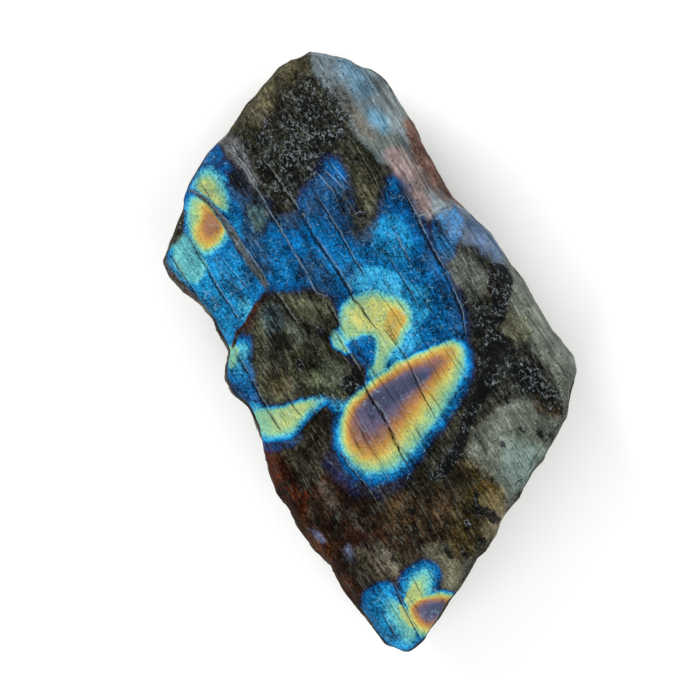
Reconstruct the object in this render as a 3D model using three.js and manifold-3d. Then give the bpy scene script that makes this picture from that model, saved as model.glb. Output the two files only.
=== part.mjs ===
// Rough labradorite chunk: one broken, slab-like piece of feldspar with one good
// cleavage face. It lies on its back with that face up.
// Millimetres, +Z up, +Y along the stone towards its crown, +X to the right of it.
// The origin is under the middle of the stone, on the surface it rests on.

import * as THREE from 'three';
import { TessellateModifier } from 'three/addons/modifiers/TessellateModifier.js';
import { mergeVertices } from 'three/addons/utils/BufferGeometryUtils.js';
import { ImprovedNoise } from 'three/addons/math/ImprovedNoise.js';
import Module from 'manifold-3d';

const wasm = await Module();
wasm.setup();

// ---- Driving dimensions ------------------------------------------------------------

const FACE_HEIGHT = 23.5;           // the cleavage face above the back, at the origin
const FACE_DIP = 2.4;               // degrees: the face sinks a little ...
const FACE_FALLS_TO = -72;          // ... towards the pointed end (compass, from +X)
const BACK_SPARE = 1.5;             // broken away below the back before it is flat
const FACE_SPARE = 0.8;             // and above the face before it is cleaved
const LEVELS = 9;                   // rows of breaks up the side of the stone
const GIRDLE_SHARE = 0.5;           // share of the height at which it is widest
const GIRDLE_WANDER = 0.3;          // how much that share wanders round the stone
const GIRDLE_BAND = 0.24;           // the breaks reach full depth this far from it
const GIRDLE_SPACING = 17;          // the sides change their lean about this often
const BREAK_EDGE = 4.4;             // longest edge of one small break
const BREAK_DEPTH = 2.6;            // how far the breaks bite in below the girdle
const UPPER_BREAK_DEPTH = 0.9;      // and above it, under the edge of the face
const BREAK_SPACING = 7.5;          // and how far apart they are
const CHIP_DEPTH = 0.8;             // smaller chips on top of them
const CHIP_SPACING = 3.1;
const LOBE_DROP = 0.6;              // the left lobe has cleaved this much lower

// How far the side stands in from the girdle, at shares of the stone's height.
const SIDE_PROFILE = [
  { share: 0.0, inset: 7.5 },
  { share: 0.1, inset: 4.6 },
  { share: 0.22, inset: 2.3 },
  { share: 0.36, inset: 0.6 },
  { share: 0.5, inset: 0.0 },
  { share: 0.72, inset: 0.1 },
  { share: 0.88, inset: 0.3 },
  { share: 0.95, inset: 0.55 },
  { share: 1.0, inset: 1.3 },
];

// The line that the sides lean in towards, along the middle of the stone.
const SPINE = new THREE.Line3(new THREE.Vector3(-13, 30, 0), new THREE.Vector3(8, -36, 0));

// ---- The girdle: the outline at the widest level, anticlockwise from the crown ------

const CROWN_LEFT = [
  [-8.2, 50.0], [-9.7, 50.3], [-11.0, 49.6], [-13.0, 48.8], [-15.0, 47.6], [-16.3, 46.0],
  [-17.9, 44.3], [-19.0, 42.8], [-20.6, 41.2], [-21.9, 38.9], [-23.7, 36.2], [-25.1, 35.0],
  [-27.2, 32.7], [-28.5, 30.9], [-29.4, 29.2], [-30.6, 26.4],
];
const LEFT_LOBE = [
  [-30.9, 25.4], [-31.0, 23.7], [-32.9, 19.4], [-34.6, 15.0], [-33.4, 12.4], [-31.0, 9.9],
  [-28.4, 8.0], [-26.7, 6.1], [-25.8, 4.2],
];
const WAIST_NOTCH = [
  [-24.9, 2.0], [-23.7, 0.1], [-24.5, -2.6], [-24.5, -4.6], [-23.0, -7.1], [-20.5, -9.1],
];
const LOWER_LEFT = [
  [-19.2, -11.5], [-18.2, -15.0], [-17.0, -19.6], [-15.5, -23.6], [-13.5, -26.2],
  [-12.5, -28.6], [-10.9, -31.0], [-9.5, -33.0], [-7.4, -34.9], [-6.0, -37.1],
  [-4.2, -40.0], [-2.7, -42.1], [-0.7, -44.5], [0.8, -46.6], [2.6, -48.8],
];
const POINTED_END = [[4.6, -49.8], [6.0, -50.3], [7.3, -49.5], [9.1, -48.2], [10.1, -46.6]];
const LOWER_RIGHT = [
  [11.8, -44.5], [13.3, -42.0], [15.1, -39.6], [16.8, -36.8], [18.3, -34.1],
  [19.8, -32.8], [21.3, -30.5], [22.1, -28.1], [23.6, -25.8], [25.3, -23.9],
  [26.5, -21.6], [27.5, -19.5], [29.0, -18.0], [30.1, -16.0], [31.8, -13.1],
];
const RIGHT_CORNER = [[33.3, -10.1], [33.6, -7.1], [34.6, -3.1], [34.2, -0.8], [32.8, 1.2]];
const UPPER_RIGHT = [
  [30.8, 3.5], [29.3, 5.9], [27.0, 9.9], [25.3, 12.7], [23.5, 15.1], [22.0, 17.5],
  [20.3, 19.9], [19.1, 21.1], [18.0, 21.9], [15.8, 24.2], [14.0, 25.8],
];
const CROWN_RIGHT = [
  [12.8, 27.7], [11.3, 30.4], [9.6, 33.4], [7.6, 38.0], [5.6, 41.0], [3.5, 44.4],
  [1.8, 46.4], [0.3, 47.2], [-1.5, 47.7], [-3.2, 48.8], [-5.0, 49.4],
];
const GIRDLE = [
  ...CROWN_LEFT, ...LEFT_LOBE, ...WAIST_NOTCH, ...LOWER_LEFT, ...POINTED_END,
  ...LOWER_RIGHT, ...RIGHT_CORNER, ...UPPER_RIGHT, ...CROWN_RIGHT,
];

// ---- Flat cleavage and break faces --------------------------------------------------
// Each falls away to the left of the walk from `from` to `to`. `dip` is in degrees from
// level (over 90 undercuts), `below` is how far under the main face the walk lies, and
// the cut runs on past both ends of the walk by `runOn`.

const UPPER_FACES = [
  { name: 'crown face', from: [-19.0, 65.0], to: [7.8, 22.4], dip: 21, below: 0, runOn: 0 },
  { name: 'crown right rim', from: [4.4, 40.5], to: [11.2, 27.0], dip: 50, below: 2.0, runOn: 1.5 },
  { name: 'right shoulder', from: [20.6, 20.2], to: [31.4, 1.0], dip: 42, below: 0, runOn: 4 },
  { name: 'right corner', from: [33.4, -8.6], to: [24.4, -22.6], dip: 44, below: 0, runOn: 3 },
  { name: 'lower right rim', from: [22.2, -25.6], to: [11.0, -43.2], dip: 58, below: 0, runOn: 3 },
  { name: 'pointed end', from: [10.0, -45.2], to: [1.6, -46.6], dip: 50, below: 0, runOn: 2 },
  { name: 'lower left rim', from: [1.6, -44.2], to: [-10.4, -28.8], dip: 60, below: 0, runOn: 2 },
  { name: 'hip', from: [-12.4, -25.2], to: [-18.2, -9.8], dip: 62, below: 0, runOn: 2 },
  { name: 'waist', from: [-19.8, -8.0], to: [-24.0, -3.0], dip: 50, below: 0, runOn: 0.5 },
  { name: 'lobe underside', from: [-26.0, 7.8], to: [-33.2, 15.4], dip: 48, below: 0.5, runOn: 1 },
  { name: 'lobe outside', from: [-33.2, 14.6], to: [-28.0, 28.0], dip: 60, below: 0.4, runOn: 1 },
  { name: 'shoulder slope', from: [-23.6, 31.0], to: [-15.2, 43.4], dip: 38, below: 0, runOn: 2 },
  { name: 'crown left rim', from: [-15.6, 45.0], to: [-8.0, 49.0], dip: 52, below: 0, runOn: 2 },
];

const UNDERSIDE_FACES = [
  { name: 'back left', from: [0.0, -46.0], to: [-18.5, -15.0], dip: 128, below: 17, runOn: 14 },
  { name: 'back lobe', from: [-26.5, 4.0], to: [-36.0, 14.5], dip: 132, below: 16.5, runOn: 7 },
  { name: 'back shoulder', from: [-32.0, 24.0], to: [-15.5, 47.0], dip: 134, below: 18, runOn: 14 },
  { name: 'back upper right', from: [13.0, 27.5], to: [33.5, 0.5], dip: 127, below: 18.5, runOn: 14 },
  { name: 'back right', from: [34.5, -4.0], to: [21.0, -30.0], dip: 131, below: 17, runOn: 14 },
  { name: 'back point', from: [13.6, -45.6], to: [3.0, -51.2], dip: 141, below: 15, runOn: 14 },
];

// The step down to the left lobe, along its two cracks, and then round outside it.
const LOBE_STEP = [
  [-31.5, 28.5], [-28.2, 25.9], [-25.7, 23.4], [-23.2, 19.5], [-19.9, 15.0],
  [-16.7, 10.9], [-18.5, 7.4], [-21.5, 3.4], [-22.6, 0.4], [-40.0, -2.0], [-40.0, 32.0],
];

// ---- Helpers ------------------------------------------------------------------------

const noise = new ImprovedNoise();

/** Perlin noise at a point, with one hump about every `spacing` millimetres. */
function noiseAt(point, spacing) {
  return noise.noise(point.x / spacing + 7.3, point.y / spacing + 2.1, point.z / spacing + 4.7);
}

/** The direction that a face of this dip looks in. */
function faceNormal(compass, dip) {
  const turn = THREE.MathUtils.degToRad(compass);
  const lean = THREE.MathUtils.degToRad(dip);
  const level = Math.sin(lean);
  return new THREE.Vector3(Math.cos(turn) * level, Math.sin(turn) * level, Math.cos(lean));
}

const MAIN_NORMAL = faceNormal(FACE_FALLS_TO, FACE_DIP);

/** Height of the main cleavage face over a point of the plan. */
function faceHeight(x, y) {
  return FACE_HEIGHT - (MAIN_NORMAL.x * x + MAIN_NORMAL.y * y) / MAIN_NORMAL.z;
}

/** A solid of manifold-3d from a closed three.js geometry. */
function toSolid(geometry) {
  const bare = geometry.clone();
  bare.deleteAttribute('normal');
  bare.deleteAttribute('uv');
  const merged = mergeVertices(bare, 1e-4);
  return new wasm.Manifold(new wasm.Mesh({
    numProp: 3,
    vertProperties: new Float32Array(merged.attributes.position.array),
    triVerts: new Uint32Array(merged.index.array),
  }));
}

/** The three.js geometry of a solid. */
function toGeometry(solid) {
  const mesh = solid.getMesh();
  const geometry = new THREE.BufferGeometry();
  geometry.setAttribute('position', new THREE.BufferAttribute(mesh.vertProperties, 3));
  geometry.setIndex(new THREE.BufferAttribute(mesh.triVerts, 1));
  return geometry;
}

/** Moves every vertex of a geometry by a function that changes the point it is given. */
function moveVertices(geometry, change) {
  const position = geometry.attributes.position;
  const point = new THREE.Vector3();
  for (let i = 0; i < position.count; i += 1) {
    point.fromBufferAttribute(position, i);
    change(point);
    position.setXYZ(i, point.x, point.y, point.z);
  }
}

/** Moves a point level towards the spine, and never more than a third of the way. */
function moveIn(point, distance) {
  const target = SPINE.closestPointToPoint(point.clone().setZ(0), true, new THREE.Vector3());
  const way = target.sub(point).setZ(0);
  const reach = Math.min(distance, way.length() / 3);
  point.addScaledVector(way.normalize(), reach);
}

/** Perlin noise that is the same at every height over a point of the plan. */
function planNoise(point, spacing) {
  return noiseAt(point.clone().setZ(0), spacing);
}

/** The share of the height, on a row of breaks, at which the stone is widest here. */
function girdleShare(point) {
  const share = GIRDLE_SHARE + GIRDLE_WANDER * planNoise(point, GIRDLE_SPACING);
  return Math.round(share * (LEVELS - 1)) / (LEVELS - 1);
}

/** The side profile's inset at a share of the height. */
function insetAt(share) {
  const next = Math.max(1, SIDE_PROFILE.findIndex((row) => row.share >= share));
  const low = SIDE_PROFILE[next - 1];
  const high = SIDE_PROFILE[next];
  const along = (share - low.share) / (high.share - low.share);
  return THREE.MathUtils.lerp(low.inset, high.inset, along);
}

// ---- The stone ----------------------------------------------------------------------

/** The outline pulled up into a body that is widest at the girdle. */
function makeBody() {
  const outline = new THREE.Shape(GIRDLE.map(([x, y]) => new THREE.Vector2(x, y)));
  const body = new THREE.ExtrudeGeometry(outline, {
    depth: 1,
    steps: LEVELS - 1,
    bevelEnabled: false,
  });
  moveVertices(body, (point) => {
    const share = point.z;
    const top = faceHeight(point.x, point.y) + FACE_SPARE;
    const girdle = girdleShare(point);
    const above = (share - girdle) / (share > girdle ? 1 - girdle : girdle);
    moveIn(point, insetAt((1 + above) / 2));
    point.z = THREE.MathUtils.lerp(-BACK_SPARE, top, share);
  });
  return body;
}

/** Breaks and chips all over the sides, fading out towards the girdle. */
function breakSides(body) {
  const broken = new TessellateModifier(BREAK_EDGE, 12).modify(body);
  moveVertices(broken, (point) => {
    const top = faceHeight(point.x, point.y) + FACE_SPARE;
    const share = (point.z + BACK_SPARE) / (top + BACK_SPARE);
    const girdle = girdleShare(point);
    const off = Math.abs(share - girdle);
    const weight = THREE.MathUtils.smoothstep(off, 0, GIRDLE_BAND);
    const depth = share > girdle ? UPPER_BREAK_DEPTH : BREAK_DEPTH;
    const bite = depth * (0.5 + 0.5 * noiseAt(point, BREAK_SPACING));
    const chip = CHIP_DEPTH * noiseAt(point, CHIP_SPACING);
    moveIn(point, weight * (bite + chip));
  });
  return broken;
}

/** A block with one face on the cut that a row of the lists above describes. */
function faceCutter({ from, to, dip, below, runOn }) {
  const start = new THREE.Vector2(...from);
  const end = new THREE.Vector2(...to);
  const middle = start.clone().add(end).multiplyScalar(0.5);
  const compass = THREE.MathUtils.radToDeg(end.clone().sub(start).angle()) + 90;
  const out = faceNormal(compass, dip);
  const strike = new THREE.Vector3(end.x - start.x, end.y - start.y, 0).normalize();
  const downDip = new THREE.Vector3().crossVectors(out, strike);
  const reach = 40;
  const block = new THREE.BoxGeometry(start.distanceTo(end) + 2 * runOn, reach, reach);
  block.translate(0, 0, reach / 2);
  block.applyMatrix4(new THREE.Matrix4().makeBasis(strike, downDip, out));
  block.translate(middle.x, middle.y, faceHeight(middle.x, middle.y) - below);
  return toSolid(block);
}

/** A block over the whole stone, with its underside on a plane that looks along `up`. */
function planeCutter(up, height) {
  const reach = 160;
  const block = new THREE.BoxGeometry(reach, reach, reach / 2);
  block.translate(0, 0, reach / 4);
  block.applyQuaternion(new THREE.Quaternion().setFromUnitVectors(new THREE.Vector3(0, 0, 1), up));
  block.translate(0, 0, height);
  return toSolid(block);
}

/** A block over the left lobe that lowers the cleavage face there by one step. */
function lobeCutter() {
  const plan = new THREE.Shape(LOBE_STEP.map(([x, y]) => new THREE.Vector2(x, y)));
  const block = new THREE.ExtrudeGeometry(plan, { depth: 20, bevelEnabled: false });
  moveVertices(block, (point) => {
    point.z += faceHeight(point.x, point.y) - LOBE_DROP;
  });
  return toSolid(block);
}

function makeStone() {
  let stone = toSolid(breakSides(makeBody()));
  stone = stone.subtract(planeCutter(MAIN_NORMAL, FACE_HEIGHT));
  for (const face of [...UPPER_FACES, ...UNDERSIDE_FACES]) {
    stone = stone.subtract(faceCutter(face));
  }
  stone = stone.subtract(lobeCutter());
  stone = stone.subtract(planeCutter(new THREE.Vector3(0, 0, -1), 0));
  const geometry = toGeometry(stone);
  geometry.computeBoundingBox();
  const { min, max } = geometry.boundingBox;
  geometry.translate(-(min.x + max.x) / 2, -(min.y + max.y) / 2, -min.z);
  return geometry;
}

const labradorite = new THREE.MeshStandardMaterial({
  color: 0x3c4743,
  roughness: 0.38,
  metalness: 0.0,
});

const chunk = new THREE.Mesh(makeStone(), labradorite);
chunk.name = 'labradorite_chunk';

const model = new THREE.Group();
model.add(chunk);

export default model;
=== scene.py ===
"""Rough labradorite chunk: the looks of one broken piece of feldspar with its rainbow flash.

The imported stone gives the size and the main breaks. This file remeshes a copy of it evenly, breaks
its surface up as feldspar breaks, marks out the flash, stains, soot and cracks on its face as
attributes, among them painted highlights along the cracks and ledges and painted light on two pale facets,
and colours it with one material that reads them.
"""

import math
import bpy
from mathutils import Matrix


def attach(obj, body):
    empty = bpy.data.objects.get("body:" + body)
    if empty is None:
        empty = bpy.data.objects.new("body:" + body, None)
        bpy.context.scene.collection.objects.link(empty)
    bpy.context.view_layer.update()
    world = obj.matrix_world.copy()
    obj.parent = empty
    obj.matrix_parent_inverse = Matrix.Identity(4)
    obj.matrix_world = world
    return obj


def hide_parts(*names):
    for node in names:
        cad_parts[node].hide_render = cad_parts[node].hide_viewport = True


bl_info = {
    "name": "Rough Labradorite Chunk",
    "version": (1, 0, 0),
    "blender": (4, 5, 0),
    "location": "3D View > Sidebar > Labradorite",
    "description": "Builds a broken chunk of labradorite with its flash, cracks and stains",
    "category": "Add Mesh",
}

import bmesh
import bpy
import numpy as np
from mathutils import Vector, noise

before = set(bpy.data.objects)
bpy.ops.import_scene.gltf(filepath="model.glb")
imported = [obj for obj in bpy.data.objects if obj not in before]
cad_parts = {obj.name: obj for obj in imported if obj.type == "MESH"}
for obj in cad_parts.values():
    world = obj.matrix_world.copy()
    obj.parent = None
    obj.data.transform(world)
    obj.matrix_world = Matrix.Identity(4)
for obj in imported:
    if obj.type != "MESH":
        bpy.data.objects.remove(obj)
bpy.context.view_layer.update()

NODE = "labradorite_chunk"
BODY = "root"
PIECE = "labradorite_stone"

MM = 0.001
GIRDLE_HEIGHT = 12.5 * MM      # height of the widest outline; the face side is above it
CLEAVAGE_DEGREES = -58.0       # which way the cleavage lines run across the face, from +X

# ---------------------------------------------------------------------------------------------
# Where things lie on the face, in millimetres from the middle of the stone, +Y to the crown.
# The points of every curve and line were set one at a time, and are rounded to 0.1 mm.
# smooth_loop and smooth_line cut their corners, so the curves pass close to the points.
# ---------------------------------------------------------------------------------------------

# The flash: patches of nested curves, each with the order of colour that it bounds, 0 to 1 along
# FLASH_COLOURS. Between two curves the order runs evenly, so rings of colour follow their shape.
# name, width of the outer edge, [(order, curve), ...] from the outside in
FLASH_PATCHES = [
    ("blue field", 2.2, [
        (0.205, [
            (-22.2, 24.7), (-19.9, 24.7), (-17.4, 23), (-14.9, 21.4), (-11.9, 22.7), (-10.5, 25.4),
            (-8.5, 28.7), (-6.9, 31.4), (-5.5, 31), (-4.2, 27.7), (-3.4, 24.7), (-3.2, 21),
            (-1.9, 18.7), (0.1, 19.4), (1.6, 21.7), (2.6, 24.7), (3.8, 29), (5.5, 26.7),
            (7.1, 23.4), (8.5, 20.5), (10.5, 16.7), (11.8, 14), (13.3, 10.7), (14.5, 8),
            (15.3, 5.4), (15.6, 2.4), (12.6, 1.7), (10.1, 0), (5.1, -2.5), (1, -2.5), (-4, 0.4),
            (-5.2, 4.5), (-4.5, 7.9), (-5.7, 9.7), (-8.5, 10.9), (-11.5, 10.9), (-14.9, 10.4),
            (-17.2, 10.7), (-19.9, 14.4), (-21.5, 17), (-23, 19.4), (-23.9, 22.7),
        ]),
        (0.245, [
            (-17.9, 20), (-14.5, 18.7), (-11.5, 20), (-8.2, 21), (-5.5, 19.4), (-2.9, 17.7),
            (0.5, 18.7), (3.5, 21.7), (5.5, 21.7), (7.5, 18.7), (9.8, 15), (12.1, 10.4),
            (13.6, 5.7), (13.6, 3), (10.1, 1.4), (5.1, -0.6), (1.1, -0.8), (-3, 1.7), (-4.2, 4.5),
            (-3.5, 7.9), (-5.2, 10.4), (-8.2, 11.7), (-11.5, 11.9), (-14.9, 11.5), (-17.9, 14.4),
            (-19.2, 17.4),
        ]),
        (0.275, [
            (-4.9, 16), (-1.2, 17), (2.8, 19.4), (5.1, 17.7), (7.6, 15), (10.1, 10.4), (11.8, 6.2),
            (11, 2.9), (6, 0.4), (1.8, 0.4), (-1.5, 2.9), (-2.9, 8.7),
        ]),
    ]),
    ("azure with flecks", 1.6, [
        (0.33, [
            (0.5, 20.7), (3.8, 23), (6, 20.7), (7.1, 17.9), (6, 15), (2.6, 15), (0.5, 17.4),
        ]),
    ]),
    ("azure by the yellow patch", 1.2, [
        (0.36, [
            (-2.9, 13.4), (0.5, 14.4), (3.8, 13.4), (6.5, 11), (9.8, 10.4), (10.1, 6.7),
            (7.8, 3.7), (8.5, 1.7), (5.8, -0.6), (3.1, -2), (2.8, 0.4), (5.5, 3.4), (6.5, 6.7),
            (4.5, 8.4), (0.5, 10), (-2.9, 9.7),
        ]),
    ]),
    ("blue over the left crack", 1.0, [
        (0.27, [
            (-19.9, 19), (-17.2, 18.7), (-14.5, 17.7), (-11.9, 15), (-11.5, 11.7), (-14.9, 11.4),
            (-17.5, 12.7), (-19.2, 15),
        ]),
    ]),
    ("yellow patch", 0.8, [
        (0.42, [
            (-5, 6.4), (-3.9, 8.4), (-2.2, 9.4), (-0.5, 10.2), (1.8, 10.2), (4.1, 9.5), (6.1, 8.4),
            (7.1, 6.5), (7, 4.4), (6, 2.9), (5.3, 1.2), (4.1, 0.4), (3.1, -1.3), (2.8, -3),
            (0.5, -4.6), (-0.5, -3.6), (0.8, -1.3), (1.3, 1), (0.5, 2.7), (-1.2, 3), (-2.5, 2),
            (-4, 1.5), (-4.9, 3.4),
        ]),
        (0.52, [
            (-4.4, 5.7), (-3.2, 7.9), (-1.5, 9), (0.8, 9.4), (3.5, 8.5), (5.5, 7.5), (6.3, 5.7),
            (5.6, 3.7), (4.5, 2.2), (3.3, 0.7), (2.3, -1.3), (1.8, -3.3), (0.8, -3.3), (1.3, -1),
            (2, 1.4), (1.1, 3.2), (-1.2, 3.5), (-2.9, 2.5), (-4, 3.7),
        ]),
        (0.59, [
            (-2.5, 6), (-1.4, 7.9), (0.8, 8.7), (3.1, 7.9), (5, 6.9), (5.6, 5.4), (4.6, 3.7),
            (3.5, 2.4), (2.5, 3.4), (0.8, 4.4), (-1.2, 4.2),
        ]),
    ]),
    ("peach heart", 0.8, [
        (0.66, [
            (2.8, 6.4), (4, 7.2), (5.5, 6.7), (6, 5.4), (5.1, 3.5), (4.1, 1.9), (3.1, 3),
            (2.5, 4.7),
        ]),
    ]),
    ("green sliver", 0.6, [
        (0.48, [
            (-6.9, 3.5), (-5.5, 3.7), (-4.2, 1.7), (-3.2, -0.1), (-4.4, 0), (-5.9, 1.2),
        ]),
    ]),
    ("teal haze by the eye", 1.2, [
        (0.36, [
            (-6.2, -5.3), (-4.4, -5), (-2.9, -6.5), (-3.9, -8.3), (-5.2, -10), (-6.4, -8.3),
        ]),
    ]),
    ("big eye", 1.2, [
        (0.17, [
            (-0.9, -5), (-3.2, -7), (-4.9, -9), (-5.7, -11.3), (-5.9, -14.3), (-5.4, -17.1),
            (-4, -19.6), (-2, -21.3), (0.5, -22.1), (3.3, -21.6), (5.5, -20.5), (7.3, -19.1),
            (9.1, -16.6), (11, -14), (13.1, -11.1), (15, -8.1), (16.1, -5.5), (16.8, -2.8),
            (16.8, -0.1), (16.1, 1.7), (14.8, 2.7), (12.8, 2.4), (10.1, 1), (7.5, 0), (4.8, -1),
            (2.5, -2.5),
        ]),
        (0.48, [
            (-0.2, -5.3), (-2.2, -6.8), (-3.9, -9), (-4.7, -11.3), (-4.7, -14.1), (-4, -16.6),
            (-2.5, -18.5), (-0.5, -19.5), (2, -19.5), (4.3, -18.5), (6.3, -16.5), (8.3, -14.3),
            (10.3, -11.6), (12.3, -8.6), (13.8, -6.3), (15.1, -3.6), (15.6, -1), (15.1, 1),
            (13.8, 1.9), (11.8, 1.4), (9.3, 0.2), (6.8, -0.8), (4.3, -1.8), (2.1, -3.3),
        ]),
        (0.64, [
            (0.1, -6), (-1.9, -7.6), (-3.4, -9.6), (-3.9, -11.6), (-3.9, -14.1), (-3, -16.1),
            (-1.5, -17.5), (0.5, -17.8), (2.5, -16.8), (4.1, -15.3), (5.6, -13.5), (7.1, -11.3),
            (8.6, -9), (10.5, -6.6), (12.3, -4.1), (13.8, -1.6), (14.3, 0.2), (13.5, 1),
            (11.8, 0.5), (9.3, -0.5), (6.8, -1.5), (4.5, -2.6), (2.3, -4.1),
        ]),
        (0.8, [
            (0.3, -6.5), (-1.5, -8.1), (-2.5, -9.8), (-3, -11.8), (-2.9, -13.5), (-1.9, -14.8),
            (-0.2, -15.1), (1.6, -14.3), (3.3, -12.6), (4.6, -11.1), (6, -9.3), (7.5, -7.3),
            (9.3, -5.1), (11.3, -3.1), (12.5, -1.5), (11.5, -1), (9.1, -1.8), (6.8, -2.6),
            (4.5, -3.8), (2.3, -5.1),
        ]),
        (0.9, [
            (0.1, -7.3), (-1.2, -8.6), (-1.9, -10.1), (-1.2, -11.6), (0.3, -12.6), (2, -11.8),
            (3.3, -10.5), (4.6, -8.8), (6, -7.3), (7.5, -5.8), (9.3, -4.3), (10.8, -3),
            (10.1, -2.3), (8.1, -2.8), (5.8, -3.6), (3.5, -4.8), (1.5, -6),
        ]),
        (0.99, [
            (-0.2, -8.3), (1.5, -6.6), (3.8, -5.5), (6.1, -4.6), (8.5, -3.5), (9.6, -3.8),
            (8.1, -5), (6.5, -6.1), (4.8, -7.5), (3.1, -8.8), (1.5, -9.8), (0.1, -9.5),
        ]),
    ]),
    ("violet haze under the eye", 1.8, [
        (0.11, [
            (-7.9, -17.6), (-5.5, -20), (-3.2, -22.3), (-0.5, -23.6), (2.8, -23.3), (5.5, -22),
            (6.5, -20.6), (3.8, -21.3), (0.5, -21.6), (-2.5, -20.6), (-4.5, -18.6), (-5.9, -16.6),
        ]),
    ]),
    ("left eye, lower", 0.9, [
        (0.36, [
            (-30.2, 24.7), (-29.7, 25.7), (-28.7, 26), (-27.4, 25.4), (-26.2, 24), (-24.9, 22.2),
            (-23.4, 20), (-22.7, 18.7), (-23.7, 17.7), (-25, 16.9), (-26.4, 15.7), (-27.7, 15.9),
            (-28.9, 17.2), (-29.7, 18.9), (-30.2, 21), (-30.4, 23.4),
        ]),
        (0.47, [
            (-29.4, 24.7), (-28.4, 25.5), (-27.2, 24.9), (-26, 23.4), (-24.7, 21.5), (-23.5, 19.9),
            (-24.2, 18.5), (-25.5, 17.5), (-26.9, 16.4), (-28, 17), (-29, 18.5), (-29.7, 20.4),
            (-29.7, 23),
        ]),
        (0.6, [
            (-27.7, 24.5), (-26.9, 24.5), (-25.9, 23.2), (-24.7, 21.5), (-23.7, 20), (-24.7, 18.7),
            (-26, 17.5), (-27, 17), (-28.2, 17.9), (-28.9, 19), (-28.7, 20.4), (-28, 21.5),
            (-27.9, 23),
        ]),
        (0.7, [
            (-26.9, 23.7), (-26, 23.2), (-25, 21.7), (-24.2, 20.4), (-25.4, 19.2), (-26.4, 18.4),
            (-27.4, 18.7), (-27.9, 19.7), (-27.7, 20.9), (-27.2, 22.2),
        ]),
        (0.79, [
            (-26.4, 22.5), (-25.7, 22.5), (-25, 21.4), (-24.7, 20.5), (-25.7, 19.5), (-26.7, 19.4),
            (-27.2, 20.2), (-26.9, 21.5),
        ]),
    ]),
    ("left eye, upper", 1.2, [
        (0.36, [
            (-29.4, 27.2), (-28.9, 28.9), (-27.7, 30.2), (-26.2, 30.7), (-24.7, 29.7),
            (-23.5, 27.7), (-22.9, 25.4), (-22.7, 23.2), (-23.7, 22.5), (-25, 23.9), (-26.7, 25.4),
            (-28.2, 26.4),
        ]),
        (0.5, [
            (-28.5, 27.2), (-27.9, 28.7), (-26.5, 29), (-25.2, 27.9), (-24.2, 25.9), (-23.7, 23.9),
            (-24.5, 23.5), (-25.9, 24.9), (-27.2, 26),
        ]),
        (0.57, [
            (-28.2, 27), (-27.5, 28), (-26.5, 27.7), (-25.4, 26), (-24.5, 24.2), (-25, 24),
            (-26.2, 25.2), (-27.4, 26.2),
        ]),
    ]),
    ("blue edge of the left lobe", 1.6, [
        (0.22, [
            (-31.5, 26), (-30.9, 29), (-29.2, 32), (-27.2, 34), (-25.2, 33.7), (-24.5, 32),
            (-26, 30.9), (-27.7, 30), (-29, 28), (-29.9, 26),
        ]),
    ]),
    ("violet spot", 1.0, [
        (0.17, [
            (-24.7, 31), (-23.7, 31.5), (-22.7, 31), (-22.2, 30), (-23.2, 29.7), (-24.2, 30.2),
        ]),
    ]),
    ("teal patch", 2.6, [
        (0.24, [
            (-23.5, 27), (-21.9, 26), (-19.9, 24.7), (-17.5, 24.4), (-16.2, 21.7), (-17.2, 18.7),
            (-19.5, 19), (-21.5, 21.7), (-22.9, 24.4),
        ]),
    ]),
    ("cyan strip", 1.0, [
        (0.3, [
            (-24.5, 25.4), (-23.4, 24.9), (-21.9, 23), (-20.7, 20.7), (-20.2, 18.7), (-21.4, 19),
            (-22.7, 21), (-23.9, 23.4),
        ]),
    ]),
    ("pale green corner", 3.2, [
        (0.44, [
            (-32.2, 18.7), (-30.2, 19.4), (-28.4, 17.4), (-27, 14.4), (-28.2, 11.7), (-30.2, 12),
            (-32, 15),
        ]),
    ]),
    ("pale cyan rim", 1.2, [
        (0.36, [
            (-33.5, 15), (-32, 15.4), (-30.7, 13.4), (-29.5, 11), (-30.4, 10.4), (-32, 12),
        ]),
    ]),
    ("left strip", 1.0, [
        (0.28, [
            (-31.5, 15.7), (-29.9, 17.7), (-28.7, 18.4), (-27.2, 17), (-24.9, 16.5), (-22.5, 17.7),
            (-20.2, 15), (-17.9, 11.5), (-17.7, 9.7), (-19.2, 7.7), (-19.9, 5.7), (-21.2, 4),
            (-22, 2.4), (-23.2, 0.4), (-24.7, 1.7), (-26.2, 4), (-27.4, 7), (-28.9, 9.4),
            (-30.5, 11.7),
        ]),
        (0.33, [
            (-29.5, 14), (-28.2, 15), (-26.5, 12.4), (-24.9, 9.7), (-22.9, 6.7), (-22.2, 4.4),
            (-23.5, 2.7), (-25.2, 5), (-26.9, 7.7), (-28.7, 10.4),
        ]),
    ]),
    ("azure by the vein", 0.8, [
        (0.38, [
            (-21.9, 8.4), (-20.2, 9.4), (-19.2, 8), (-20.2, 5.4), (-21.5, 5.7),
        ]),
    ]),
    ("lower left blue", 1.4, [
        (0.2, [
            (-22.9, 0.7), (-21.5, 2.4), (-20, 2.4), (-19.2, 0), (-18.7, -3), (-18.2, -5.3),
            (-17.2, -8), (-18.9, -8.8), (-20.5, -8.1), (-22, -6.1), (-23.5, -4.5), (-24.4, -2.3),
        ]),
        (0.4, [
            (-22.9, 0), (-21.2, 1.5), (-20, 0.9), (-20.9, -1.3), (-22.2, -2.6), (-23.2, -1.6),
        ]),
    ]),
    ("green corner under the vein", 0.7, [
        (0.5, [
            (-23.7, 0), (-22.5, 1.4), (-21.5, 0.4), (-22, -2), (-23.2, -2.6),
        ]),
    ]),
    ("lower left strip", 0.6, [
        (0.32, [
            (-19.9, -8.1), (-18.2, -8.6), (-16.5, -9), (-14.4, -8.6), (-12.2, -8.1), (-10.2, -7.3),
            (-7.9, -6.8), (-5.9, -7), (-6.7, -8.3), (-8.5, -9.5), (-10.2, -11.1), (-11.7, -13.1),
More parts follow.
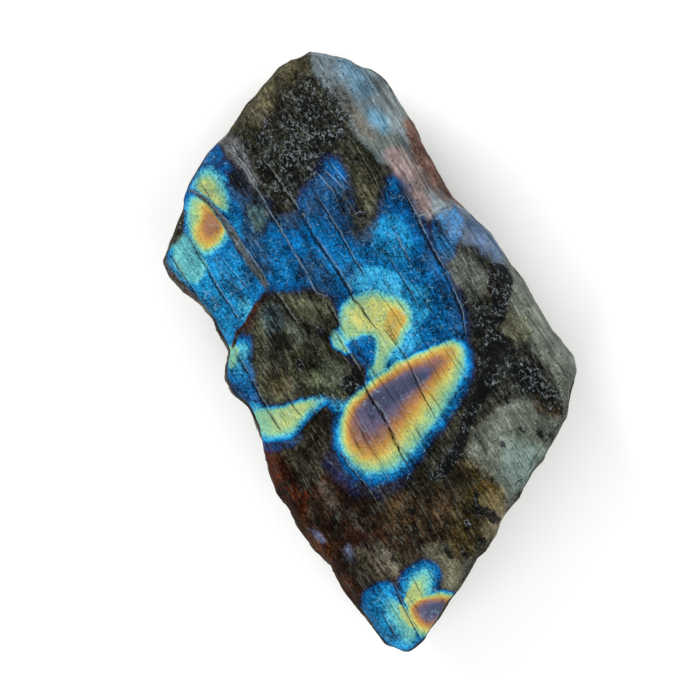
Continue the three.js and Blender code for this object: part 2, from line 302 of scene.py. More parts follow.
            (-13.2, -14.3), (-15.2, -14.3), (-16.9, -15), (-18.2, -14), (-19, -12.3),
            (-19.5, -10.3),
        ]),
        (0.5, [
            (-18.9, -10.1), (-17.7, -9.6), (-16.2, -9.5), (-14.2, -9.1), (-11.9, -8.5),
            (-9.5, -7.8), (-8.7, -8.5), (-10.2, -9.6), (-11.5, -11.3), (-12.9, -13),
            (-14.9, -13.3), (-16.5, -13.6), (-17.9, -12.8), (-18.5, -11.5),
        ]),
        (0.565, [
            (-15.2, -10.1), (-13.9, -9.5), (-11.5, -8.6), (-9.9, -8.3), (-11.2, -10),
            (-12.9, -11.5), (-14.4, -12.3), (-15.4, -11.5),
        ]),
    ]),
    ("violet fringe", 0.9, [
        (0.13, [
            (-18.9, -13.3), (-16.9, -14.6), (-14.2, -14.1), (-11.5, -13.3), (-11, -14.3),
            (-13.2, -15.6), (-16.5, -16.3), (-18.2, -15.6),
        ]),
    ]),
    ("tip, left", 1.1, [
        (0.27, [
            (-0.9, -40.6), (0.1, -39.1), (1.8, -38.3), (3.3, -38.3), (4.3, -39.3), (5.1, -41.3),
            (6.1, -43.3), (7.6, -45.6), (8.6, -48), (7.1, -50.3), (5.5, -50.3), (3.1, -49.6),
            (0.8, -47), (-0.9, -44.3),
        ]),
        (0.36, [
            (1.5, -42.3), (2.8, -40.3), (4.1, -40.3), (5.1, -42.3), (6.5, -44.6), (7.8, -47),
            (7.1, -49), (5.1, -48), (3.5, -45.6),
        ]),
        (0.47, [
            (3.8, -41.3), (4.8, -41), (5.6, -42.6), (7, -45), (8, -47), (6.5, -47), (4.8, -44.3),
        ]),
    ]),
    ("tip, pale strip", 0.5, [
        (0.58, [
            (4.6, -41.5), (5.5, -41.8), (6.5, -43.5), (7.8, -45.6), (6.8, -45.6), (5.5, -44),
        ]),
    ]),
    ("tip, upper", 1.1, [
        (0.24, [
            (4.6, -40.3), (4.8, -38.3), (5.8, -36.8), (7.1, -35.6), (9, -34.6), (10.8, -34.8),
            (11.5, -36.3), (11.1, -38.3), (10.8, -40.3), (9.1, -41.6), (6.8, -42), (5.5, -41.6),
        ]),
        (0.42, [
            (6, -40), (6.6, -38), (7.8, -36.3), (9.6, -35.8), (10.3, -37.6), (10, -40),
            (8.5, -41.3), (6.5, -41.5),
        ]),
        (0.57, [
            (5.8, -40.8), (6.5, -39.3), (7.5, -38.3), (8.3, -39.6), (8.5, -40.8), (7.1, -41.8),
            (6, -41.8),
        ]),
    ]),
    ("tip, eye", 0.7, [
        (0.46, [
            (6.1, -42), (7.1, -40.6), (9.1, -40), (11.8, -39.6), (14.5, -40.1), (13.8, -42),
            (11.8, -45), (10.1, -47), (8.5, -47), (6.8, -44.6),
        ]),
        (0.62, [
            (6.6, -42), (7.8, -41), (9.5, -40.5), (11.8, -40.3), (14.5, -40.8), (13.1, -42.6),
            (11.5, -45), (9.8, -46), (8.3, -45.3), (7.1, -43.8),
        ]),
        (0.76, [
            (7.1, -42), (8.3, -41.1), (10.1, -40.8), (12.1, -40.8), (13.5, -41.3), (12.1, -43.3),
            (10.8, -44.8), (9.3, -45), (8.1, -44),
        ]),
        (0.9, [
            (8.1, -42.3), (9.5, -41.6), (11.1, -41.3), (12.8, -41.6), (12, -43), (10.8, -44),
            (9.3, -44.1), (8.5, -43.3),
        ]),
        (0.98, [
            (9.6, -42.3), (11.1, -41.6), (12.3, -42), (11.5, -43.1), (10.1, -43.3),
        ]),
    ]),
    ("right bulge", 1.0, [
        (0.27, [
            (10.5, 21.7), (12, 23), (14.1, 23.7), (15.1, 21.7), (15.3, 19.4), (13.8, 17.7),
            (13.8, 16), (12.8, 15), (11.6, 16.7), (10.8, 19),
        ]),
    ]),
    ("right haze", 2.0, [
        (0.18, [
            (16.1, 21.7), (17.8, 21.7), (20.1, 19.4), (21.8, 17), (20.8, 16), (18.5, 17.7),
            (16.8, 19.7),
        ]),
    ]),
]

# Where the flash is weak or veiled: name, share of it that shows, width of the edge, curve
DIMMED = [
    ("teal veil", 0.38, 2.6, [
        (-20.5, 24.4), (-17.9, 24.2), (-16, 22), (-17, 19.4), (-19.7, 20.2),
    ]),
    ("upper blue", 0.62, 4.0, [
        (-12.2, 25.4), (-8.5, 30), (-5.9, 31.7), (-3.9, 28.7), (-2.9, 24.4), (-2.2, 21),
        (-4.9, 18.7), (-7.9, 21), (-10.5, 22.4),
    ]),
    ("pale green corner", 0.75, 2.4, [
        (-32.5, 18.7), (-29.9, 19.7), (-27.9, 17), (-27.2, 14), (-28.5, 11.7), (-30.9, 12.7),
        (-32.5, 15.7),
    ]),
    ("left eye, upper", 0.72, 1.4, [
        (-29.9, 27.7), (-28.5, 30), (-25.9, 31.4), (-23.9, 29.4), (-22.2, 24.7), (-22.5, 22.4),
        (-24.5, 23.4), (-27.2, 25.4),
    ]),
    ("between the left cracks", 0.6, 1.4, [
        (-25.9, 16), (-24.2, 15), (-21.5, 11.4), (-19.5, 8), (-20.9, 6.7), (-22.9, 9),
        (-24.9, 12.4),
    ]),
    ("navy by the left ledge", 0.35, 2.0, [
        (-21.5, 21), (-18.9, 20.4), (-16.9, 17.4), (-15.5, 13.7), (-16.9, 12), (-18.9, 15),
        (-20.5, 18),
    ]),
    ("along the right crack", 0.62, 2.0, [
        (9.1, 19.4), (11.1, 15.7), (13.5, 10.7), (15.8, 5.7), (16.1, 1.7), (13.8, 2.7),
        (12.5, 6.7), (10.5, 11.4), (8.5, 16),
    ]),
    ("azure blotch 1", 0.55, 2.4, [
        (-4.5, 15), (-2.5, 15.7), (-1.2, 13.4), (-1.5, 10.4), (-3.5, 9.4), (-4.9, 12),
    ]),
    ("azure blotch 2", 0.6, 2.2, [
        (-10.5, 10), (-7.9, 11.4), (-6.2, 8.7), (-7.2, 7.7), (-9.5, 8.4),
    ]),
    ("right haze", 0.35, 2.0, [
        (15.1, 25.4), (19.3, 24.5), (25.1, 17), (22.6, 13.7), (18.5, 16.2), (15.5, 19.5),
    ]),
    ("lower left mottle", 0.65, 1.6, [
        (-21.9, 0.4), (-18.5, 0.4), (-17.2, -8.6), (-20.9, -8.6), (-23.9, -4),
    ]),
    ("right bulge", 0.5, 1.4, [
        (9.8, 22.9), (14.8, 24.5), (16.1, 18.7), (14.3, 14), (11, 15.7),
    ]),
    ("smoky veil", 0.35, 2.6, [
        (-4.9, 26), (-2.9, 27), (0.5, 26.4), (2.5, 24.7), (1.8, 21), (0.5, 18), (-1.9, 17),
        (-3.2, 18.7), (-4, 21.7),
    ]),
    ("grey veil", 0.5, 2.4, [
        (-10.5, 17), (-8.5, 16), (-6.5, 14.4), (-4.9, 11), (-5.9, 9), (-9.2, 9.2), (-11.5, 11.4),
        (-12.2, 14.4),
    ]),
    ("dark under the soot", 0.4, 3.0, [
        (-22.2, 29.4), (-17.9, 26), (-14.2, 23.7), (-10.5, 24), (-8.2, 26), (-8.5, 23.4),
        (-11.2, 20.7), (-13.9, 20), (-16.9, 21.4), (-20.2, 23), (-22.2, 26),
    ]),
    ("upper left edge", 0.8, 1.6, [
        (-32.2, 25.4), (-31.2, 29.4), (-29.5, 32.4), (-26.9, 34.4), (-23.9, 33.7), (-25.9, 30.7),
        (-28.2, 28.7), (-29.5, 26),
    ]),
    ("navy corner", 0.22, 2.2, [
        (-22.9, 31), (-20.5, 30), (-18.5, 27.7), (-17.2, 24.7), (-16.2, 21), (-17.9, 18.4),
        (-19.9, 21), (-21.5, 24.4), (-22.9, 27.7),
    ]),
    ("pale cyan rim", 0.6, 1.2, [
        (-34.2, 15.7), (-31.9, 16), (-29.2, 10.4), (-30.9, 9.7), (-33.2, 12),
    ]),
    ("teal by the eye", 0.55, 1.2, [
        (-6.9, -5), (-3.9, -4.6), (-3.2, -7), (-4.9, -10), (-6.9, -8.3),
    ]),
    ("violet under the eye", 0.7, 1.6, [
        (-8.2, -17.1), (-4.9, -18.3), (-2.2, -21.3), (5.1, -22), (5.1, -24.6), (-4.9, -24.6),
    ]),
    ("tip gap", 0.45, 1.0, [
        (4.1, -36.6), (5.1, -37.6), (5.3, -39.6), (5.8, -41.6), (5.1, -41.3), (4.1, -39.6),
    ]),
]

# The feldspar's own colour, laid over the dark base in this order; on the crown face and the right rim it
# is partly painted light:
# name, colour, width of the edge, cover, curve
GROUND = [
    ("navy under the upper ledge", "#141a24", 1.8, 0.95, [
        (-23.2, 31), (-20.5, 30), (-18.5, 27.7), (-17.2, 24.4), (-15.9, 20.4), (-17.9, 18.4),
        (-19.9, 21), (-21.5, 24.7), (-22.9, 27.7),
    ]),
    ("teal veil", "#4a625f", 2.0, 0.9, [
        (-20.4, 24.2), (-17.9, 24), (-16.4, 22), (-17.4, 19.9), (-19.5, 20.5),
    ]),
    ("fibrous olive below the eye", "#4a4838", 2.4, 0.8, [
        (3.8, -25), (7.8, -23.6), (11.8, -24.3), (13.8, -27), (11.8, -30.3), (7.8, -31),
        (4.8, -28.6),
    ]),
    ("pale corner of the lobe", "#6f8c80", 2.2, 0.9, [
        (-32.9, 18.7), (-29.9, 19.7), (-27.9, 17), (-27.2, 13.7), (-29.2, 11.4), (-31.2, 13),
    ]),
    ("right side", "#656b62", 3.0, 1.0, [
        (11.8, 26), (16.8, 24.5), (21.8, 20), (26, 15), (30.1, 8.7), (33.5, 2.9), (35.1, -1.6),
        (34.3, -7.1), (32.8, -11.3), (30.1, -15.5), (27.8, -19.6), (25.1, -23.3), (21.8, -28.8),
        (18.5, -33), (15.5, -37.1), (12.8, -38), (11.1, -34.6), (13.1, -28.8), (15.5, -23.8),
        (16.5, -19.6), (17.5, -14.6), (18.8, -11), (21.8, -8.3), (25.1, -5.3), (26.5, 0.4),
        (23.5, 5.7), (22.1, 13.7), (18.8, 17.9), (15.1, 20), (11.8, 22.9),
    ]),
    ("upper right bulge", "#6c7c90", 1.8, 0.95, [
        (11.1, 24.4), (14.5, 26), (18.1, 24.4), (21.8, 20.4), (25.8, 15), (23.1, 14), (20.1, 15),
        (16.8, 17.4), (13.8, 18.7), (12.1, 21.4),
    ]),
    ("dark wedge beside the blue", "#2a2c25", 2.0, 1.0, [
        (13.8, 11.4), (16.1, 11), (19.5, 9.4), (21.8, 6.7), (23.1, 4.5), (24.8, 2), (27.8, 0),
        (30.5, -2.6), (32.1, -6.6), (29.8, -8.3), (25.1, -7.6), (22.3, -7.3), (20.1, -8.8),
        (18.1, -11), (16.8, -14.3), (15.5, -17.1), (11.8, -21), (9.1, -20.6), (11.1, -17.1),
        (13.8, -13), (15.8, -8.8), (17.5, -3.8), (16.8, 0.4), (15.8, 4.5), (14.5, 8),
    ]),
    ("grey olive under the bulge", "#545952", 2.2, 0.95, [
        (11.1, 16), (14.5, 17.4), (18.1, 15.4), (19.8, 12.7), (18.8, 10), (16.1, 9), (13.5, 11.4),
    ]),
    ("olive window on the right", "#5a5a48", 1.4, 0.9, [
        (21.5, 5.7), (23.8, 7.4), (26.5, 5), (26.8, 2), (24.1, 1.4), (22.1, 3),
    ]),
    # The right rim, a narrow bevel, is drawn pale partly for its clearer, translucent feldspar and partly
    # as painted light falling on it from the upper right
    ("right rim", "#7a8078", 1.4, 0.9, [
        (21.8, 18.4), (25.8, 14.7), (29.5, 10), (32.8, 5), (35.8, -0.6), (35.5, -6.6),
        (33.1, -3.6), (31.1, 0.4), (28.8, 4.4), (25.8, 9), (22.8, 14),
    ]),
    ("brown at the right corner", "#463a27", 1.2, 0.9, [
        (26.8, -7.6), (29.8, -6.6), (32.5, -8.6), (31.8, -11.3), (29.5, -11), (27.1, -9.6),
    ]),
    ("upper left slope", "#4b4634", 1.8, 1.0, [
        (-14, 51.7), (-9.5, 52), (-7.9, 47), (-8.2, 44), (-11.2, 43.7), (-13.9, 42), (-16.2, 39.7),
        (-17.9, 37), (-19.9, 34.4), (-22.9, 33), (-26.5, 33.7), (-23.9, 39), (-20.9, 43.4),
        (-17.9, 48),
    ]),
    ("upper left olive", "#33301d", 1.4, 1.0, [
        (-22.9, 35.7), (-20.5, 37.4), (-17.9, 36.7), (-16.9, 33.7), (-18.5, 30.7), (-20.9, 30.4),
        (-22.5, 32.7),
    ]),
    ("soot under the crown", "#34362b", 3.5, 1.0, [
        (-11.9, 45.4), (-8.5, 45.4), (-5.2, 42), (-2.9, 38.4), (-2.9, 33.7), (-2.5, 28.7),
        (-4.5, 25.4), (-7.2, 27.7), (-10.9, 24.4), (-14.5, 23.4), (-17.9, 26.4), (-19.9, 30.7),
        (-19.5, 34.4), (-17.2, 37.7), (-14.5, 41),
    ]),
    # The crown face and its pale top and grey right are drawn pale partly for their clearer, translucent
    # feldspar and partly as painted light falling from the upper right on this bevel
    ("crown face", "#6f7d82", 0.9, 1.0, [
        (-9.9, 51), (-5.2, 50.4), (-0.5, 48), (2.8, 45.4), (6.1, 41.4), (9.8, 36.4), (12.8, 31.4),
        (15.1, 26), (13.8, 23), (10.1, 22.2), (7.8, 22.2), (6.5, 24.4), (4.8, 27), (3.1, 30),
        (1.1, 32), (-1.2, 34.4), (-3.2, 36.4), (-4.7, 39.4), (-6.4, 42.2), (-8.5, 45),
        (-9.4, 47.7),
    ]),
    ("crown face, green side", "#6f756d", 1.8, 0.8, [
        (-4.9, 41.2), (-1.2, 40), (2.6, 37), (5.1, 34), (2.8, 32.4), (-0.2, 34), (-3.2, 37),
    ]),
    ("crown face, pale top", "#7c8b95", 1.6, 0.8, [
        (-8.9, 50), (-5.5, 49.7), (-2.9, 47.7), (-3.5, 45.7), (-6.5, 46), (-8.5, 47.4),
    ]),
    ("crown, blue upper patch", "#5f87a0", 2.4, 0.8, [
        (-5.9, 49), (-2.9, 48.7), (-0.9, 46), (0.8, 42.4), (-0.5, 41.4), (-2.9, 42.7),
        (-4.9, 45.7),
    ]),
    ("crown, blue lower patch", "#5a88a3", 2.0, 0.85, [
        (-0.2, 40.4), (1.8, 39.9), (3.1, 37.7), (2.6, 35.7), (0.8, 36.4), (-0.4, 38.4),
    ]),
    ("crown, brown grey streak", "#6a655a", 1.4, 0.7, [
        (-6.5, 43.4), (-4.2, 43), (-1.2, 39.4), (1.5, 36.4), (0.5, 35.4), (-2.2, 37), (-4.9, 40),
    ]),
    ("crown, grey right", "#78807f", 1.8, 0.8, [
        (0.5, 45), (2.5, 44.4), (5.8, 40), (8.5, 35.4), (7.1, 35), (4.8, 38), (2.1, 41.4),
    ]),
    ("salmon", "#958380", 1.4, 0.95, [
        (1.8, 32.7), (3.5, 33.7), (5.8, 33.7), (7.5, 31), (9.5, 27.4), (11.1, 23.7), (9.8, 22.2),
        (7.1, 23.4), (5.1, 26), (3.1, 29.7),
    ]),
    ("brown rim of the crown", "#6e5044", 1.8, 0.95, [
        (5.5, 38.7), (9.1, 38.7), (13.5, 33.7), (16.8, 28.7), (16.8, 24.7), (12.8, 25.2),
        (10.5, 26.7), (8.5, 29), (6.8, 32.4),
    ]),
    ("olive wedge", "#3a3a2c", 1.4, 1.0, [
        (-4.5, 38), (-2.2, 36), (-0.5, 33.4), (1.1, 30.7), (3.1, 30.4), (4.1, 28.7), (3.5, 25.4),
        (2.1, 22), (0.1, 19), (-2.2, 18), (-3.4, 21), (-3.2, 25.4), (-3.2, 29), (-3.9, 32.7),
    ]),
    ("left lobe rim", "#3d3728", 1.2, 1.0, [
        (-36.5, 14.7), (-35.5, 19.4), (-33.2, 23.7), (-31.5, 26.4), (-29.9, 25.4), (-30.2, 22.7),
        (-30.5, 19), (-31.9, 17.7), (-32.9, 16.4), (-33.5, 14.7), (-32.2, 12.4), (-29.9, 10.4),
        (-27.5, 8.7), (-25.9, 6.7), (-27.2, 5), (-31.5, 7.7), (-34.9, 11),
    ]),
    ("grey patch", "#5e6063", 1.2, 0.85, [
        (-27.5, 34), (-24.5, 36.7), (-22.2, 35.7), (-20.5, 33), (-18.9, 30), (-17.9, 27.7),
        (-19.2, 28), (-20.9, 30), (-22.9, 31.5), (-24.9, 32),
    ]),
    ("lower left dark", "#23140a", 2.5, 1.0, [
        (-18.9, -14), (-11.5, -14.6), (-4.9, -19.3), (1.8, -24.6), (5.8, -29.6), (4.5, -33.3),
        (0.5, -35.6), (-1.9, -40), (-6.5, -39.6), (-13.2, -31.3), (-17.5, -23),
    ]),
    ("fibrous grey streaks", "#3e3b2c", 1.6, 0.9, [
        (-14.9, -14.3), (-10.5, -14), (-7.5, -17.3), (-7.2, -21), (-10.5, -22), (-13.2, -18.6),
    ]),
    ("rust", "#381604", 2.2, 1.0, [
        (-21.5, -13.6), (-17.9, -14.6), (-14.9, -17.3), (-12.2, -20.6), (-10.5, -24.3),
        (-10.2, -28), (-13.2, -28), (-16.5, -25.3), (-19.5, -20.3),
    ]),
    ("rust, lower", "#341b0a", 2.2, 1.0, [
        (-13.2, -25.5), (-10.5, -26.6), (-7.9, -30.3), (-5.2, -34), (-2.2, -38), (-0.5, -42),
        (-4.2, -42.3), (-8.2, -38), (-11.9, -31.3),
    ]),
    ("brown middle", "#35291a", 3.0, 1.0, [
        (0.5, -24), (5.1, -21.6), (10.1, -22), (15.1, -23.3), (16.5, -28), (15.5, -32.1),
        (10.5, -34), (5.8, -32.6), (2.5, -28.6),
    ]),
    ("grey lower middle", "#403b30", 2.0, 0.9, [
        (-3.9, -33), (-0.2, -32.3), (3.8, -33.3), (4.8, -35.6), (2.5, -38), (-0.5, -39.6),
        (-2.5, -37.1),
    ]),
    ("pale lower right", "#5f5d4c", 2.2, 0.95, [
        (9.1, -32.3), (13.1, -31.3), (16.8, -33.3), (15.5, -37.3), (13.5, -40), (11.1, -38.6),
        (9.1, -35.6),
    ]),
    ("amber", "#3f3416", 3.2, 1.0, [
        (15.5, -18.3), (18.8, -17.3), (21.8, -18.6), (22.5, -22.3), (21.1, -26.6), (19.8, -31.3),
        (17.1, -34.6), (13.8, -34.6), (13.1, -30.3), (14.5, -25.5), (15.1, -21.6),
    ]),
    ("cream vein", "#756a48", 1.8, 0.9, [
        (18.1, -23.6), (20.5, -22.6), (22.5, -24), (21.8, -26.6), (19.8, -26.6), (18.5, -25.6),
    ]),
    ("cream rim", "#7c735a", 1.8, 0.9, [
        (18.5, -28.6), (20.5, -26.6), (23.1, -25), (23.8, -26.6), (21.5, -30), (19.5, -32.3),
    ]),
    ("lower right window", "#5e655a", 3.6, 1.0, [
        (17.5, -15.3), (20.5, -12.6), (24.8, -10.3), (29.3, -11.3), (31.1, -13.3), (28.5, -17.3),
        (25.8, -22), (23.1, -22.3), (20.5, -19.6), (18.1, -19),
    ]),
    ("pale window", "#6c807a", 3.0, 0.85, [
        (22.1, -15.6), (25.1, -14.3), (28.5, -16), (27.5, -20.6), (24.1, -23.6), (22.1, -20.6),
    ]),
    ("dark fold", "#3a3b31", 1.4, 0.8, [
        (19.1, -6.6), (21.8, -5.6), (23.8, -6.6), (22.8, -8.6), (20.8, -9.3), (19.1, -8.3),
    ]),
    ("pale splinters, left", "#57544c", 1.4, 0.3, [
        (-8.5, -19.6), (-7.2, -21.3), (-5.7, -23.8), (-4.4, -26.6), (-5.2, -27.5), (-6.9, -25.5),
        (-8.2, -22.6),
    ]),
    ("pale splinters, middle", "#57544c", 1.4, 0.3, [
        (-4.4, -25), (-2.9, -25.8), (-1.2, -27.5), (-0.4, -29.1), (-2, -28.5), (-3.9, -26.6),
    ]),
    ("pale splinters, low", "#4c483a", 1.4, 0.3, [
        (-10.5, -24.3), (-8.9, -26.1), (-7.4, -28.5), (-8.2, -28.8), (-10, -26.6),
    ]),
    ("blue grey spot", "#56607a", 1.2, 0.75, [
        (-10, -29.3), (-8.9, -29.3), (-7.5, -31), (-7.9, -32), (-9.2, -31),
    ]),
    ("blue grey spot, low", "#56607a", 1.2, 0.75, [
        (-4.5, -32.3), (-3.5, -32.1), (-2.5, -33.3), (-2.9, -34.5), (-4, -33.8),
    ]),
    ("pale crust by the tip", "#5f5c50", 2.4, 0.55, [
        (1.1, -31.3), (3.8, -32.3), (5.1, -34.6), (3.8, -36.3), (1.8, -35), (0.5, -33),
    ]),
]

# Crust that hides the flash: name, colour, width of the edge, curve
COVERS = [
    ("olive fibrous patch", "#383b2d", 1.8, [
        (-17.2, 8.7), (-14.9, 10), (-11.5, 9.7), (-8.2, 9.2), (-5.9, 8), (-4.7, 6), (-4.7, 4.4),
        (-5.9, 3), (-7, 1.7), (-6.5, 0.4), (-4.4, -0.6), (-2.9, -2.6), (-1.5, -4.6), (-1.9, -6.6),
        (-3.5, -8.3), (-5.9, -7.6), (-8.5, -7.3), (-11.5, -7.6), (-14.2, -8.6), (-16.9, -8.6),
        (-18, -7.5), (-18.7, -5.3), (-19.2, -2.6), (-19.7, -0.3), (-19.5, 2.4), (-18.9, 4.5),
        (-18.2, 6.7),
    ]),
    ("rough left rim", "#4e4440", 0.9, [
        (-36.5, 14.7), (-35.5, 18.7), (-33.9, 22.7), (-32.5, 25), (-30.9, 25.4), (-30.4, 23.4),
        (-30.5, 20.4), (-30.9, 18.7), (-32.2, 17.7), (-33.5, 16.7), (-33.7, 15.4), (-32.9, 13.7),
        (-31.2, 11.7), (-29.5, 10.2), (-27.9, 8.7), (-26.7, 6.7), (-26.9, 5), (-28.9, 5.7),
        (-33.2, 8.7), (-35.9, 12),
    ]),
    # The broken edge of the lower ledge, where the flash is hidden, drawn pale grey as a painted highlight
    # of the step
    ("lit ledge band", "#596163", 0.7, [
        (-30.5, 27.4), (-28.9, 26.7), (-27.2, 25.7), (-25.9, 24.4), (-24.7, 22.9), (-23.5, 21.7),
        (-22.5, 20.7), (-21.5, 19), (-20.5, 17.2), (-19.2, 15.2), (-17.9, 13.4), (-16.7, 11.2),
        (-17.2, 10.5), (-18.5, 12.2), (-20, 14), (-21.5, 16.2), (-22.7, 18), (-23.7, 19.9),
        (-25, 21.9), (-26.2, 23.4), (-27.5, 24.9), (-29.2, 26),
    ]),
    ("brown vein", "#2e1a0d", 0.5, [
        (-17.2, 10.2), (-16.9, 9.7), (-18, 7.7), (-18.9, 6), (-19.7, 4.5), (-20.9, 3.5),
        (-21.9, 1.5), (-22.5, 0.4), (-22.9, 1), (-21.9, 3.4), (-20.5, 5.4), (-19.4, 7.2),
        (-18.2, 9),
    ]),
    ("black gap by the big crack", "#0d0e0c", 0.9, [
        (-3.2, 0), (-2.2, -0.3), (-1.2, -2.3), (-0.5, -4.3), (-1.2, -5.6), (-2.5, -5.6),
        (-2.9, -3.6), (-2.5, -2),
    ]),
]

# Shades within the crust: name, colour, width of the edge, cover, curve
COVER_TINTS = [
    ("olive, grey streak", "#5d6358", 1.2, 0.85, [
        (-16.5, 9), (-14.5, 7), (-12, 3.9), (-10.7, 1.9), (-11.7, 1.4), (-14.2, 3.9), (-16.4, 6.9),
    ]),
    ("olive, pale upper", "#66674f", 1.8, 0.8, [
        (-13.2, 8), (-10.9, 8.9), (-8.5, 7.7), (-9.2, 5), (-11.7, 4.9),
    ]),
    ("olive, black pit", "#12130d", 1.2, 0.9, [
        (-16.9, 3.7), (-15.4, 4.5), (-13.7, 2.4), (-12.7, 0.2), (-14.2, -0.1), (-15.9, 1.7),
    ]),
    ("olive, dark right", "#1b1b11", 1.4, 0.85, [
        (-8.5, 4), (-6, 3.4), (-5.5, 1.2), (-7.9, 1),
    ]),
    ("olive, green low", "#525a44", 1.8, 0.7, [
        (-9.5, -3.3), (-6.9, -4), (-5.5, -6.6), (-7.9, -7), (-9.9, -5.6),
    ]),
    ("left rim, olive", "#35301b", 1.2, 1.0, [
        (-36.2, 16), (-35.2, 19.4), (-33.2, 23.4), (-31.5, 25.7), (-30.2, 24.7), (-30.2, 21.7),
        (-30.5, 18.7), (-32.5, 17.4), (-34.2, 16),
    ]),
    ("olive, darker heart", "#232314", 2.4, 0.8, [
        (-13.2, 0), (-10.5, 0.4), (-8.5, -1.6), (-10.2, -4), (-12.9, -3.6),
    ]),
    ("olive, brown side", "#4a4531", 1.4, 0.9, [
        (-16.9, -3), (-13.9, -2.3), (-11.9, -4.6), (-12.9, -7), (-15.5, -7.3), (-17.2, -5.6),
    ]),
    ("olive, blue side", "#2d4048", 1.6, 0.8, [
        (-17.9, 7.7), (-15.5, 8.7), (-13.9, 7), (-14.2, 3.7), (-16.2, 3), (-17.9, 4.7),
    ]),
    ("olive, pale green", "#56604f", 2.0, 0.6, [
        (-7.9, -0.3), (-5.2, -0.6), (-3.5, -3), (-4.2, -5.6), (-6.5, -6.3), (-7.9, -3.6),
    ]),
    ("olive, dark pit", "#1a1c14", 1.0, 0.8, [
        (-15.7, 3.7), (-14.2, 3), (-13.9, 1.2), (-15.2, 1),
    ]),
]

# Dense black inclusions, granular and pitted: name, density, width of the edge, curve
SOOT = [
    ("under the crown", 0.56, 5.0, [
        (-12.9, 46), (-8.5, 47), (-4.5, 42.7), (-2.2, 39), (-3.2, 35.4), (-3.2, 31.2), (-4.2, 27),
        (-8.5, 27.7), (-10.9, 24.4), (-14.9, 23.7), (-18.2, 26.7), (-20.2, 31.2), (-19.5, 35),
        (-17.5, 38.4), (-14.9, 41.7),
    ]),
    ("right, upper", 1.0, 1.0, [
        (19.8, 15), (21.8, 14.7), (23.6, 12), (23.1, 8.4), (22.6, 5.4), (21.3, 4.7), (20.1, 6.4),
        (20, 9.4), (19.3, 12.4),
    ]),
    ("right, middle", 0.62, 4.0, [
        (14.8, 8.7), (18.5, 8.7), (21.8, 5), (24.5, 1), (24.8, -2.6), (22.6, -6), (19.5, -7.6),
        (17.1, -5.5), (16.8, 0.4), (15.5, 4.5),
    ]),
    ("right, outer", 0.72, 2.8, [
        (22.5, -0.6), (25.1, -1), (28.5, -3.3), (31.5, -6.6), (33.5, -10), (31.5, -11),
        (28.1, -8.6), (24.8, -6.3), (22.5, -4),
    ]),
    ("diagonal band", 1.0, 1.0, [
        (19.5, -1.6), (20.8, -3.3), (20.1, -6.3), (18.5, -8.6), (17.1, -11.3), (16.5, -14.3),
        (15.5, -17.3), (13.5, -19.6), (10.8, -21.3), (9.5, -21), (11.8, -18.6), (13.8, -16),
        (14.8, -13), (15.8, -10), (17.1, -7), (18.5, -4.3),
    ]),
    ("streak", 1.0, 0.6, [
        (17.1, -22.6), (18.3, -22.6), (18.5, -25.3), (20.5, -26.3), (22.5, -28), (22.1, -29.3),
        (20.1, -28), (17.8, -26.6),
    ]),
    ("left rim", 0.5, 1.0, [
        (-34.9, 15), (-33.2, 19.4), (-31.2, 23), (-29.9, 24.4), (-30.2, 20.7), (-31.5, 17.4),
        (-31.9, 15),
    ]),
    ("left corner", 0.32, 2.4, [
        (-22.2, 37), (-19.9, 37.4), (-17.9, 35.4), (-17.9, 32), (-19.9, 30.4), (-21.9, 32),
    ]),
]

# Single dark inclusions: x, y, length along the cleavage, width
SPOTS = [
    (13, -33, 2.7, 1), (16, -33.5, 2, 1), (18.8, -31.5, 2, 1), (1, -39.6, 2, 1),
    (28.1, -13.3, 1.7, 1), (22.1, -15.1, 1.3, 0.8), (30.1, -13.8, 1.7, 1), (11.1, -38.6, 1.7, 1),
    (-18.2, 16, 1.7, 1.2), (-15, 21, 2, 1.2), (10.1, -28, 1.7, 0.7), (22.6, -8, 1.5, 0.8),
    (-2.9, -5.5, 3.7, 2.3), (6.8, -26.3, 1.5, 0.7), (4.5, -34, 1.7, 0.7), (-11.5, -2.3, 1.7, 1),
    (-7.9, 3.7, 2, 1), (12.5, -3.3, 0.8, 0.7), (-1.5, 23, 2.3, 1.3), (-11.5, 23.7, 2.3, 1.2),
    (-17.9, -18, 1.3, 0.8), (25.1, -12.6, 1.3, 0.7), (16.1, -28, 1.5, 0.8), (20.6, -21, 1.3, 0.8),
]

